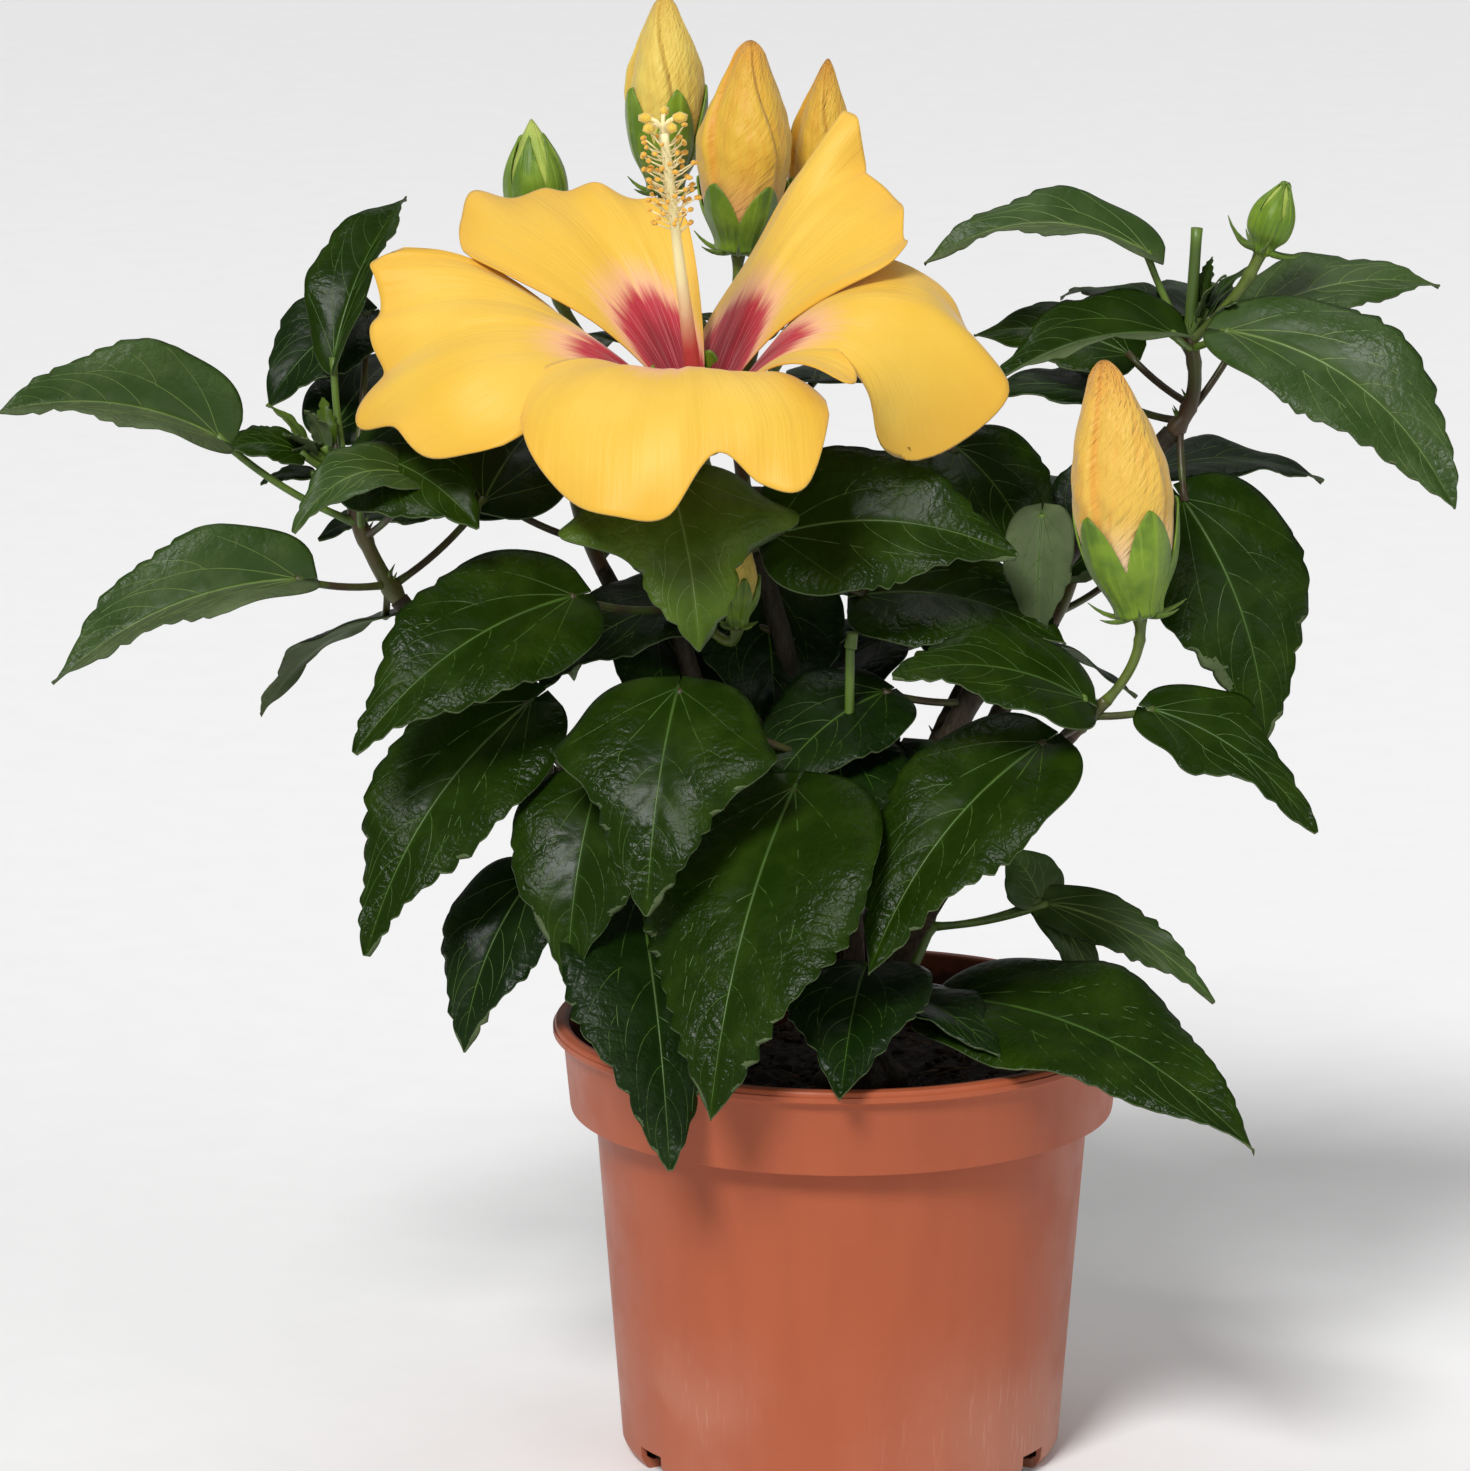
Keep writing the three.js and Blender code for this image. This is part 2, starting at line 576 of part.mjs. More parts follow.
// The furled petals of a bud, which wind round it above the calyx.
function budPetals({ length, radius, widest, calyx }) {
  return reshape(new THREE.SphereGeometry(1, 12, 9), (corner) => {
    const t = 1 - Math.acos(THREE.MathUtils.clamp(corner.y, -1, 1)) / Math.PI;
    const turn = Math.atan2(corner.z, corner.x);
    const furl = Math.max(0, t - calyx) / (1 - calyx);
    const folds = 0.1 * Math.min(1, furl * 3) * Math.cos(3 * turn + 7 * furl);
    const side = radius * budOutline(t, widest) * (1 + folds);
    const height = BUD_FOOT + (length - BUD_FOOT) * t;
    return new THREE.Vector3(side * Math.cos(turn), side * Math.sin(turn), height);
  });
}

// A calyx, made about +Z. notch is the height of its cup between two lobes, as a share of theirs, and holds
// gives the radius of what it holds at a height.
function calyxCup(height, notch, holds) {
  const { rows, firstInner, firstFloor, cup, lobes, columnsPerLobe, floor } = CALYX;
  const columns = lobes * columnsPerLobe;
  const shape = new THREE.LatheGeometry(rows.map((share, i) => new THREE.Vector2(i, share)), columns);
  const { position } = shape.attributes;
  for (let i = 0; i < position.count; i += 1) {
    const row = i % rows.length;
    const column = Math.floor(i / rows.length);
    const turn = (column / columns) * 2 * Math.PI;
    const middle = columnsPerLobe / 2;
    const lobe = 1 - Math.abs(((column % columnsPerLobe) - middle) / middle);
    const share = rows[row];
    const rim = notch + (1 - notch) * lobe;
    const reach = share > cup ? cup + ((share - cup) / (1 - cup)) * (rim - cup) : share;
    const z = row >= firstFloor ? floor : reach * height;
    const wall = row >= firstInner ? CALYX.lining : CALYX.wall - CALYX.thinning * share;
    const onAxis = row === 0 || row === rows.length - 1;
    const side = onAxis ? 0 : (holds(Math.max(z, floor)) + GAP + wall) * (row === 1 ? CALYX.footShare : 1);
    position.setXYZ(i, side * Math.cos(turn), side * Math.sin(turn), z);
  }
  return shape;
}

// A flower's stalk, from its place on a shoot's stem to the flower's foot, kept clear of the stem.
function flowerStalk(stem, at, foot, axis, radius) {
  const root = stem.getPoint(Math.min(at, 0.96));
  const bend = foot.clone().addScaledVector(axis, -0.45 * foot.distanceTo(root));
  const seat = foot.clone().addScaledVector(axis, 0.8);
  const stalk = limb(new THREE.QuadraticBezierCurve3(root, bend, seat), taper(radius, radius * 1.1), 5, 5);
  return largest(stalk.subtract(clearTube(stem, STEM, 6, 4)));
}

// A green bud with its collar of bracts and its stalk.
function greenBud(spec, stems) {
  const { widest, calyx, collar, collarHeight, collarAt, sides, sunk } = GREEN_BUD;
  const foot = new THREE.Vector3(...spec.base);
  const reach = new THREE.Vector3(...spec.tip).sub(foot);
  const length = reach.length();
  const axis = reach.clone().normalize();
  const petals = budPetals({ length, radius: spec.radius, widest, calyx });
  const bracts = new THREE.ConeGeometry(spec.radius * collar, collarHeight, sides)
    .rotateX(-Math.PI / 2)
    .translate(0, 0, collarAt);
  const [shoot, at] = spec.from;
  return solid(standing(petals, foot, axis))
    .add(solid(standing(bracts, foot, axis)))
    .add(flowerStalk(stems[shoot], at, foot.clone().addScaledVector(axis, sunk), axis, FLOWER_STALK.green));
}

// A coloured bud's furled petals, and its calyx with its stalk.
function openingBud(spec, stems) {
  const foot = new THREE.Vector3(...spec.base);
  const reach = new THREE.Vector3(...spec.tip).sub(foot);
  const length = reach.length();
  const axis = reach.clone().normalize();
  const { radius, widest, calyx, from: [shoot, at] } = spec;
  const share = (z) => THREE.MathUtils.clamp((z - BUD_FOOT) / (length - BUD_FOOT), 0.02, 1);
  const cup = calyxCup(calyx * length, CALYX.notch, (z) => radius * budOutline(share(z), widest));
  return {
    petals: solid(standing(budPetals({ length, radius, widest, calyx }), foot, axis)),
    calyx: solid(standing(cup, foot, axis))
      .add(flowerStalk(stems[shoot], at, foot, axis, FLOWER_STALK.bud)),
  };
}

// The trunk's curve, and its radius at a share t of its length, with the flare of its roots.
function trunkCurve() {
  const foot = new THREE.Vector3(...TRUNK.foot, SOIL_TOP + GAP);
  return limbCurve(foot, heading([0, 90]), new THREE.Vector3(...TRUNK.tip));
}

function trunkRadius(t) {
  const { flareShare, radius, rootFlare, tipRadius } = TRUNK;
  return t < flareShare
    ? radius + (rootFlare - radius) * (1 - t / flareShare) ** 2
    : radius + ((tipRadius - radius) * (t - flareShare)) / (1 - flareShare);
}

// A shoot's stem with its leaves. A leaf grown by rule is left out where it would touch what is filled.
function leafyShoot(spec, stem, bough, filled, random) {
  let shape = limb(stem, taper(...STEM), 6, 4);
  const kept = spec.grown
    ? grownLeaves(spec.grown, random).filter((one) => leaf(stem, one, GAP).intersect(filled).isEmpty())
    : [];
  [...(spec.leaves ?? []), ...kept].forEach((one) => { shape = shape.add(leaf(stem, one)); });
  return shape.subtract(clearTube(bough, BOUGHS[spec.bough].radius, 6, 5));
}

const FINISHES = {
  pot: { color: 0xb4603f, roughness: 0.45 },
  soil: { color: 0x1c120e, roughness: 0.95 },
  bark: { color: 0x4a3524, roughness: 0.8 },
  leaf: { color: 0x1f4418, roughness: 0.4 },
  petal: { color: 0xf6c744, roughness: 0.5 },
  column: { color: 0xf3e6b8, roughness: 0.5 },
  sepal: { color: 0x4f7d22, roughness: 0.5 },
};
const plant = new THREE.Group();

// Adds a solid to the plant as a named mesh of its own material.
function addNode(name, shape, finish) {
  const material = new THREE.MeshStandardMaterial({ ...FINISHES[finish], metalness: 0 });
  const mesh = new THREE.Mesh(geometryOf(largest(shape.simplify(FINENESS))), material);
  mesh.name = name;
  plant.add(mesh);
}

addNode('pot', pot(), 'pot');
addNode('soil', soil(), 'soil');

const trunkLine = trunkCurve();
const trunk = limb(trunkLine, trunkRadius, 10, 6);
addNode('trunk', trunk, 'bark');

// Boughs. Each is cut clear of the trunk and of the boughs before it.
const taken = [limb(trunkLine, (t) => trunkRadius(t) + GAP, 10, 6)];
let filled = trunk;
const boughs = {};
for (const [name, { at, start, tip, radius }] of Object.entries(BOUGHS)) {
  const curve = limbCurve(trunkLine.getPoint(at), heading(start), new THREE.Vector3(...tip));
  let shape = limb(curve, taper(...radius), 6, 5);
  taken.forEach((other) => { shape = shape.subtract(other); });
  shape = largest(shape);
  taken.push(limb(curve, taper(radius[0] + GAP, radius[1] + GAP), 6, 5));
  filled = filled.add(shape);
  boughs[name] = curve;
  addNode(`bough_${name}`, shape, 'bark');
}

// Masses of foliage. Each shoot's stem goes on from its bough's tip.
const random = seeded(SEED);
const stems = {};
for (const [name, spec] of Object.entries(SHOOTS)) {
  const bough = boughs[spec.bough];
  const along = bough.getTangent(1);
  const foot = bough.getPoint(1).addScaledVector(along, GAP);
  const stem = limbCurve(foot, along, new THREE.Vector3(...spec.tip));
  const shape = leafyShoot(spec, stem, bough, filled, random);
  filled = filled.add(shape);
  stems[name] = stem;
  addNode(`foliage_${name}`, shape, 'leaf');
}

// The open bloom and the buds.
const bloomFoot = new THREE.Vector3(...BLOOM.foot);
const bloomAxis = new THREE.Vector3(...BLOOM.axis).normalize();
addNode('bloom_petals', bloomPetals(bloomFoot, bloomAxis), 'petal');
addNode('bloom_column', bloomColumn(bloomFoot, bloomAxis), 'column');
addNode('bloom_calyx', bloomCalyx(bloomFoot, bloomAxis, stems), 'sepal');
for (const [name, spec] of Object.entries(GREEN_BUDS)) addNode(`bud_${name}`, greenBud(spec, stems), 'sepal');
for (const [name, spec] of Object.entries(BUDS)) {
  const { petals, calyx } = openingBud(spec, stems);
  addNode(`bud_${name}`, petals, 'petal');
  addNode(`bud_${name}_calyx`, calyx, 'sepal');
}

export default plant;
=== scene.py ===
"""A potted hibiscus shrub in flower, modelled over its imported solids.

Sizes are in millimetres until a piece is finished, when MM turns them into the frame's metres. +Z is up, +X
to the right and +Y away from the front. Directions are (azimuth, rise) in degrees: azimuth 0 points along +X
and 90 along +Y, and rise is above the horizon.
"""

import logging
import math
from collections.abc import Callable, Iterator, Sequence
from dataclasses import dataclass, field
from enum import Enum
from functools import partial

import bmesh
import bpy
from mathutils import Euler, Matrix, Quaternion, Vector, noise
from mathutils.kdtree import KDTree

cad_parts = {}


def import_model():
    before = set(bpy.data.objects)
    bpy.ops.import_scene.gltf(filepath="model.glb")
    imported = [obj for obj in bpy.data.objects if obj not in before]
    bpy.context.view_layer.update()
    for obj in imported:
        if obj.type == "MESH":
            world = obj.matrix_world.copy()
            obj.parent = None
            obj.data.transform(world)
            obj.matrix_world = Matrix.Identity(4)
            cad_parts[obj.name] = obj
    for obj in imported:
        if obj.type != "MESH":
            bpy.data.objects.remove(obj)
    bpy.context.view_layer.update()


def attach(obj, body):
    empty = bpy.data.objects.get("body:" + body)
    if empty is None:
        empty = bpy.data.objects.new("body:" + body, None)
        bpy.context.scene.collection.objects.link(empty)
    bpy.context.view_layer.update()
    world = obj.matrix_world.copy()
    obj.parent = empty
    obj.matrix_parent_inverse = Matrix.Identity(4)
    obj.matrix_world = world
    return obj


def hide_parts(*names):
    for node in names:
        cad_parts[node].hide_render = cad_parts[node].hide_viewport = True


LOG = logging.getLogger("hibiscus")

MM = 0.001
GAP = 0.3
SEED = 7
BODY = "root"
GRAIN = "grain"
SOIL_TOP = 86.0
UP = Vector((0, 0, 1))

Point = tuple[float, float, float]
Colour = tuple[float, float, float, float]
Place = Callable[[float, float], Vector]
Chart = Callable[[float, float], tuple[float, float]]
Relief = Callable[[float, float], float]
Girth = Callable[[float], float]
Skins = dict[str, bpy.types.Material]
Socket = bpy.types.NodeSocket
Mesh = bmesh.types.BMesh


def tint(red: float, green: float, blue: float) -> Colour:
    """A colour as a screen shows it, from 0 to 255, in linear light."""
    red, green, blue = (((c / 255 + 0.055) / 1.055) ** 2.4 for c in (red, green, blue))
    return red, green, blue, 1.0


def seeded(seed: int) -> Iterator[float]:
    """Seeded numbers from 0 to 1, by the rule that the solids are grown with."""
    state = seed
    while True:
        state = (state * 1664525 + 1013904223) % 2**32
        yield state / 2**32


def heading(azimuth: float, rise: float) -> Vector:
    """The unit vector of an azimuth and a rise in degrees.

    Args:
        azimuth: 0 along +X and 90 along +Y.
        rise: above the horizon.

    Returns:
        The unit vector.
    """
    level = math.cos(math.radians(rise))
    turn = math.radians(azimuth)
    return Vector((level * math.cos(turn), level * math.sin(turn), math.sin(math.radians(rise))))


def smooth(low: float, high: float, value: float) -> float:
    """0 under low and 1 over high, with a smooth rise between them."""
    t = min(max((value - low) / (high - low), 0.0), 1.0)
    return t * t * (3 - 2 * t)


def hump(value: float, middle: float, reach: float) -> float:
    """A bell of height 1 round middle, that has died out at about twice its reach."""
    return math.exp(-(((value - middle) / reach) ** 2))


def spread(marks: Sequence[float], share: float) -> float:
    """A smooth curve's value at a share from 0 to 1, through marks that are set evenly over that range.

    Args:
        marks: the curve's values.
        share: the place, from 0 to 1.

    Returns:
        The value there.
    """
    last = len(marks) - 1
    place = share * last
    i = max(min(int(place), last - 1), 0)
    t = place - i
    a, b, c, d = marks[max(i - 1, 0)], marks[i], marks[i + 1], marks[min(i + 2, last)]
    return b + 0.5 * t * (c - a + t * (2 * a - 5 * b + 4 * c - d + t * (3 * (b - c) + d - a)))


@dataclass(frozen=True)
class Bend:
    """A quadratic curve from foot to tip, drawn towards its bend."""

    foot: Vector
    bend: Vector
    tip: Vector

    @classmethod
    def leaving(cls, foot: Vector, along: Vector, tip: Vector) -> "Bend":
        """A limb's curve: it leaves its foot along a direction and bends over to its tip."""
        return cls(foot, foot + along * ((tip - foot).length / 2), tip)

    @classmethod
    def bowed(cls, foot: Vector, reach: Point, bow: float) -> "Bend":
        """A curve that bows from its straight chord.

        Args:
            foot: where it starts.
            reach: the chord's azimuth, rise and length.
            bow: how far it bows upwards, as a share of the chord.

        Returns:
            The curve.
        """
        azimuth, rise, length = reach
        along = heading(azimuth, rise)
        middle = foot + along * (length / 2) + heading(azimuth, rise + 90) * (bow * length * 2)
        return cls(foot, middle, foot + along * length)

    def point(self, t: float) -> Vector:
        """The point at a share t of the curve."""
        s = 1 - t
        return self.foot * (s * s) + self.bend * (2 * s * t) + self.tip * (t * t)

    def along(self, t: float) -> Vector:
        """The unit direction at a share t of the curve."""
        return ((self.bend - self.foot) * (1 - t) + (self.tip - self.bend) * t).normalized()

    def points(self, count: int) -> list[Vector]:
        """Evenly shared points of the curve, both ends among them."""
        return [self.point(i / (count - 1)) for i in range(count)]

    @property
    def length(self) -> float:
        """The curve's own length, near enough."""
        points = self.points(9)
        return sum((b - a).length for a, b in zip(points, points[1:]))


def square(direction: Vector, axis: Vector) -> Vector:
    """The unit direction square to an axis that lies nearest to the one given."""
    return (direction - axis * direction.dot(axis)).normalized()


def eased(share: float) -> float:
    """A share from 0 to 1 that runs slowly at both ends, so that rows lie closer there."""
    return (1 - math.cos(math.pi * share)) / 2


def blank() -> Mesh:
    """A new mesh with the UV map that every part has.

    Returns:
        The mesh.
    """
    mesh = bmesh.new()
    mesh.loops.layers.uv.new(GRAIN)
    return mesh


def placed(name: str, data: bpy.types.ID) -> bpy.types.Object:
    """Shows a mesh, lamp or lens in the scene.

    Args:
        name: the object's name.
        data: what it shows.

    Returns:
        The new object.
    """
    made = bpy.data.objects.new(name, data)
    bpy.context.scene.collection.objects.link(made)
    return made


def as_object(name: str, mesh: Mesh, finishes: Sequence[bpy.types.Material] = ()) -> bpy.types.Object:
    """Makes a finished mesh an object of the scene.

    Args:
        name: the object's name.
        mesh: its mesh, which is used up.
        finishes: its materials, in the order of its faces' numbers.

    Returns:
        The new object.
    """
    data = bpy.data.meshes.new(name)
    mesh.to_mesh(data)
    mesh.free()
    for material in finishes:
        data.materials.append(material)
    return placed(name, data)


def woven(columns: int, rows: int, place: Place, chart: Chart | None = None) -> Mesh:
    """A grid of faces, moved to where place says, with a UV map that follows it.

    Args:
        columns: how many faces lie across it.
        rows: how many lie along it.
        place: gives the point at (across, from -1 to 1; along, from 0 to 1).
        chart: gives its place on the UV map, which otherwise runs from 0 to 1 both ways.

    Returns:
        The new mesh.
    """
    mesh = blank()
    grain = mesh.loops.layers.uv[GRAIN]
    bmesh.ops.create_grid(mesh, x_segments=columns, y_segments=rows, size=1.0)
    mesh.verts.index_update()
    spots = [(vert.co.x, (vert.co.y + 1) / 2) for vert in mesh.verts]
    for face in mesh.faces:
        for loop in face.loops:
            across, along = spots[loop.vert.index]
            loop[grain].uv = chart(across, along) if chart else ((across + 1) / 2, along)
    for vert, (across, along) in zip(mesh.verts, spots):
        vert.co = place(across, along)
    return mesh


def closed(mesh: Mesh, reach: float = 1e-3) -> Mesh:
    """Merges a mesh's seam and poles and turns its faces outwards.

    Args:
        mesh: the mesh.
        reach: how near two points are that become one.

    Returns:
        The same mesh.
    """
    bmesh.ops.remove_doubles(mesh, verts=mesh.verts, dist=reach)
    bmesh.ops.recalc_face_normals(mesh, faces=mesh.faces)
    return mesh


def tube(path: Sequence[Vector], radius: Girth, sides: int, relief: Relief | None = None) -> Mesh:
    """A closed round limb along a path.

    Args:
        path: the points of its middle line.
        radius: gives its radius at a share of its length.
        sides: how many faces go round it.
        relief: if given, adds to the radius at (turn in radians, share of the length).

    Returns:
        The new mesh, whose UV map runs round it and along it.
    """
    last = len(path) - 1
    frames = []
    normal = Vector((0.3, -0.9, 0.2))
    for i, point in enumerate(path):
        along = (path[min(i + 1, last)] - path[max(i - 1, 0)]).normalized()
        normal = square(normal, along)
        frames.append((point, normal, along.cross(normal)))

    def place(across: float, share: float) -> Vector:
        """The point at (across, share), on its side or in the middle of an end."""
        row = round(share * (last + 2))
        i = min(max(row - 1, 0), last)
        t = i / last
        point, side, other = frames[i]
        if row in (0, last + 2):
            return point
        turn = math.pi * across
        size = radius(t) + (relief(turn, t) if relief else 0.0)
        return point + (side * math.cos(turn) + other * math.sin(turn)) * size

    return closed(woven(sides, last + 2, place))


def standing(mesh: Mesh, foot: Vector, axis: Vector) -> Mesh:
    """Turns a mesh made about +Z, with its foot at the origin.

    Args:
        mesh: the mesh.
        foot: where its foot comes to stand.
        axis: where its +Z comes to point.

    Returns:
        The same mesh.
    """
    turn = UP.rotation_difference(axis).to_matrix().to_4x4()
    bmesh.ops.transform(mesh, matrix=turn, verts=mesh.verts)
    bmesh.ops.translate(mesh, vec=foot, verts=mesh.verts)
    return mesh


def shell(mesh: Mesh, thickness: float, under: int) -> Mesh:
    """Gives a sheet its thickness, below it.

    Args:
        mesh: the sheet.
        thickness: how thick it becomes.
        under: the number of its lower side's and its rim's finish.

    Returns:
        The same mesh.
    """
    upper = set(mesh.faces)
    bmesh.ops.solidify(mesh, geom=mesh.faces[:], thickness=thickness)
    for face in mesh.faces:
        if face not in upper:
            face.material_index = under
    return mesh


class Piece:
    """One piece of the plant while it is modelled: its mesh, its finishes and what it stands for."""

    def __init__(self, name: str, slot: str, finishes: Sequence[bpy.types.Material]) -> None:
        """Starts an empty piece.

        Args:
            name: the piece's name in the scene.
            slot: the name of a material slot in the record; it is not used.
            finishes: its materials, in the order of its faces' numbers.
        """
        self.name = name
        self.slot = slot
        self.finishes = list(finishes)
        self.mesh = blank()

    def take(self, part: Mesh, finish: int | None = None) -> None:
        """Adds a part to the piece.

        Args:
            part: its mesh, which is used up.
            finish: its finish's number, if it has one all over.
        """
        if finish is not None:
            for face in part.faces:
                face.material_index = finish
        spare = bpy.data.meshes.new("spare")
        part.to_mesh(spare)
        part.free()
        self.mesh.from_mesh(spare)
        bpy.data.meshes.remove(spare)

    def finish(self, *nodes: str, sharp: float | None = None) -> bpy.types.Object:
        """Makes the piece an object of the scene that rides on the plant.

        Args:
            nodes: the solids that it stands for.
            sharp: the angle in degrees past which an edge is drawn sharp, if any is.

        Returns:
            The new object.
        """
        bmesh.ops.scale(self.mesh, vec=(MM, MM, MM), verts=self.mesh.verts)
        for face in self.mesh.faces:
            face.smooth = True
        if sharp is not None:
            for edge in self.mesh.edges:
                edge.smooth = len(edge.link_faces) < 2 or edge.calc_face_angle() < math.radians(sharp)
        piece = as_object(self.name, self.mesh, self.finishes)
        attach(piece, BODY)
        if nodes:
            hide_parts(*nodes)
        LOG.info("%s: %d faces", self.name, len(piece.data.polygons))
        return piece


class Coat:
    """The nodes of one material, with short calls for the kinds that this plant needs."""

    def __init__(self, name: str, colour: Colour, roughness: float, **sockets: float) -> None:
        """Starts a material.

        Args:
            name: its name.
            colour: its plain colour.
            roughness: how dull its shine is.
            sockets: other values of its shader, with their names' spaces as underscores.
        """
        self.material = bpy.data.materials.new(name)
        self.material.use_nodes = True
        self.tree = self.material.node_tree
        self.surface = self.tree.nodes["Principled BSDF"]
        self.surface.inputs["Base Color"].default_value = colour
        self.surface.inputs["Roughness"].default_value = roughness
        for socket, value in sockets.items():
            self.surface.inputs[socket.replace("_", " ")].default_value = value

    def feed(self, socket: Socket, value: Socket | float | Colour | Point) -> None:
        """Links a value to a socket, or sets it there when it is a plain one."""
        if isinstance(value, bpy.types.NodeSocket):
            self.tree.links.new(value, socket)
        else:
            socket.default_value = value

    def node(self, kind: str, **settings: object) -> bpy.types.Node:
        """Adds a node.

        Args:
            kind: its type, without the common prefix.
            settings: its properties.

        Returns:
            The node.
        """
        made = self.tree.nodes.new(f"ShaderNode{kind}")
        for name, value in settings.items():
            setattr(made, name, value)
        return made

    def spot(self, scale: Point = (1, 1, 1)) -> Socket:
        """The place on the piece in metres, stretched by scale.

        Args:
            scale: the stretch along each axis.

        Returns:
            The vector.
        """
        mapping = self.node("Mapping")
        self.feed(mapping.inputs["Vector"], self.node("TexCoord").outputs["Object"])
        self.feed(mapping.inputs["Scale"], scale)
        return mapping.outputs["Vector"]

    def weave(self) -> tuple[Socket, Socket]:
        """The place on the part by its UV map.

        Returns:
            The place across it, from 0 to 1, and the place along it.
        """
        split = self.node("SeparateXYZ")
        self.feed(split.inputs[0], self.node("UVMap", uv_map=GRAIN).outputs["UV"])
        return split.outputs["X"], split.outputs["Y"]

    def axes(self) -> list[Socket]:
        """The place on the piece along each axis, in metres.

        Returns:
            The three values.
        """
        split = self.node("SeparateXYZ")
        self.feed(split.inputs[0], self.spot())
        return list(split.outputs)

    def vector(self, x: Socket | float, y: Socket | float, z: Socket | float = 0.0) -> Socket:
        """A vector of three values.

        Args:
            x: the first.
            y: the second.
            z: the third.

        Returns:
            The vector.
        """
        joined = self.node("CombineXYZ")
        for socket, value in zip(joined.inputs, (x, y, z)):
            self.feed(socket, value)
        return joined.outputs[0]

    def reckon(self, kind: str, first: Socket | float, second: Socket | float = 0.0) -> Socket:
        """The result of one operation on two values.

        Args:
            kind: the operation.
            first: the one value.
            second: the other.

        Returns:
            The result.
        """
        made = self.node("Math", operation=kind)
        self.feed(made.inputs[0], first)
        self.feed(made.inputs[1], second)
        return made.outputs[0]

    def times(self, first: Socket | float, second: Socket | float) -> Socket:
        """The product of two values."""
        return self.reckon("MULTIPLY", first, second)

    def plus(self, first: Socket | float, second: Socket | float) -> Socket:
        """The sum of two values."""
        return self.reckon("ADD", first, second)

    def minus(self, first: Socket | float, second: Socket | float) -> Socket:
        """The first value less the second."""
        return self.reckon("SUBTRACT", first, second)

    def stray(self, value: Socket, noise_value: Socket, size: float) -> Socket:
        """A value that wanders with some noise, by half of size either way."""
        return self.plus(value, self.times(self.minus(noise_value, 0.5), size))

    def scaled(self, x: Socket, y: Socket, by_x: float, by_y: float) -> Socket:
        """A vector of two values, each times its own factor."""
        return self.vector(self.times(x, by_x), self.times(y, by_y))

    def between(self, value: Socket, low: float, high: float, start: float = 0.0, end: float = 1.0) -> Socket:
        """Takes a value smoothly from one range into another.

        Args:
            value: the value.
            low: the first range's start.
            high: its end.
            start: the second range's start.
            end: its end.

        Returns:
            The new value.
        """
        made = self.node("MapRange", interpolation_type="SMOOTHSTEP")
        for socket, given in zip(made.inputs, (value, low, high, start, end)):
            self.feed(socket, given)
        return made.outputs[0]

    def cloud(self, vector: Socket, scale: float, detail: float = 3.0, rough: float = 0.5) -> Socket:
        """Soft noise from 0 to 1.

        Args:
            vector: the place.
            scale: how fine it is.
            detail: how many octaves it has.
            rough: how strong the finer ones are.

        Returns:
            The noise.
        """
        made = self.node("TexNoise")
        self.feed(made.inputs["Vector"], vector)
        for socket, value in (("Scale", scale), ("Detail", detail), ("Roughness", rough)):
            self.feed(made.inputs[socket], value)
        return made.outputs["Fac"]

    def cells(self, vector: Socket, scale: float, kind: str = "3D") -> Socket:
        """The distance from the edges of a net of cells, through the space or over a UV map.

        Args:
            vector: the place.
            scale: how small the cells are.
            kind: whether the net fills space or a plane.

        Returns:
            The distance.
        """
        made = self.node("TexVoronoi", feature="DISTANCE_TO_EDGE", voronoi_dimensions=kind)
        self.feed(made.inputs["Vector"], vector)
        self.feed(made.inputs["Scale"], scale)
        return made.outputs["Distance"]

    def mix(self, share: Socket | float, first: Socket | Colour, second: Socket | Colour) -> Socket:
        """A colour between two, by a share from 0 to 1.

        Args:
            share: how much of the second colour it has.
            first: the one colour.
            second: the other.

        Returns:
            The colour.
        """
        made = self.node("Mix", data_type="RGBA")
        self.feed(made.inputs[0], share)
        self.feed(made.inputs[6], first)
        self.feed(made.inputs[7], second)
        return made.outputs[2]

    def relief(self, *heights: tuple[Socket, float]) -> None:
        """Bumps the surface by each height, which goes from 0 to 1, times its depth in millimetres.

        Args:
            heights: the heights with their depths.
        """
        normal: Socket | None = None
        for height, depth in heights:
            bump = self.node("Bump")
            self.feed(bump.inputs["Height"], height)
            self.feed(bump.inputs["Distance"], depth * MM)
            self.feed(bump.inputs["Strength"], 1.0)
            if normal is not None:
                self.feed(bump.inputs["Normal"], normal)
            normal = bump.outputs["Normal"]
        self.feed(self.surface.inputs["Normal"], normal)

    def paint(self, colour: Socket) -> None:
        """Gives the surface that colour."""
        self.feed(self.surface.inputs["Base Color"], colour)

    def dull(self, roughness: Socket) -> None:
        """Gives the surface that roughness."""
        self.feed(self.surface.inputs["Roughness"], roughness)


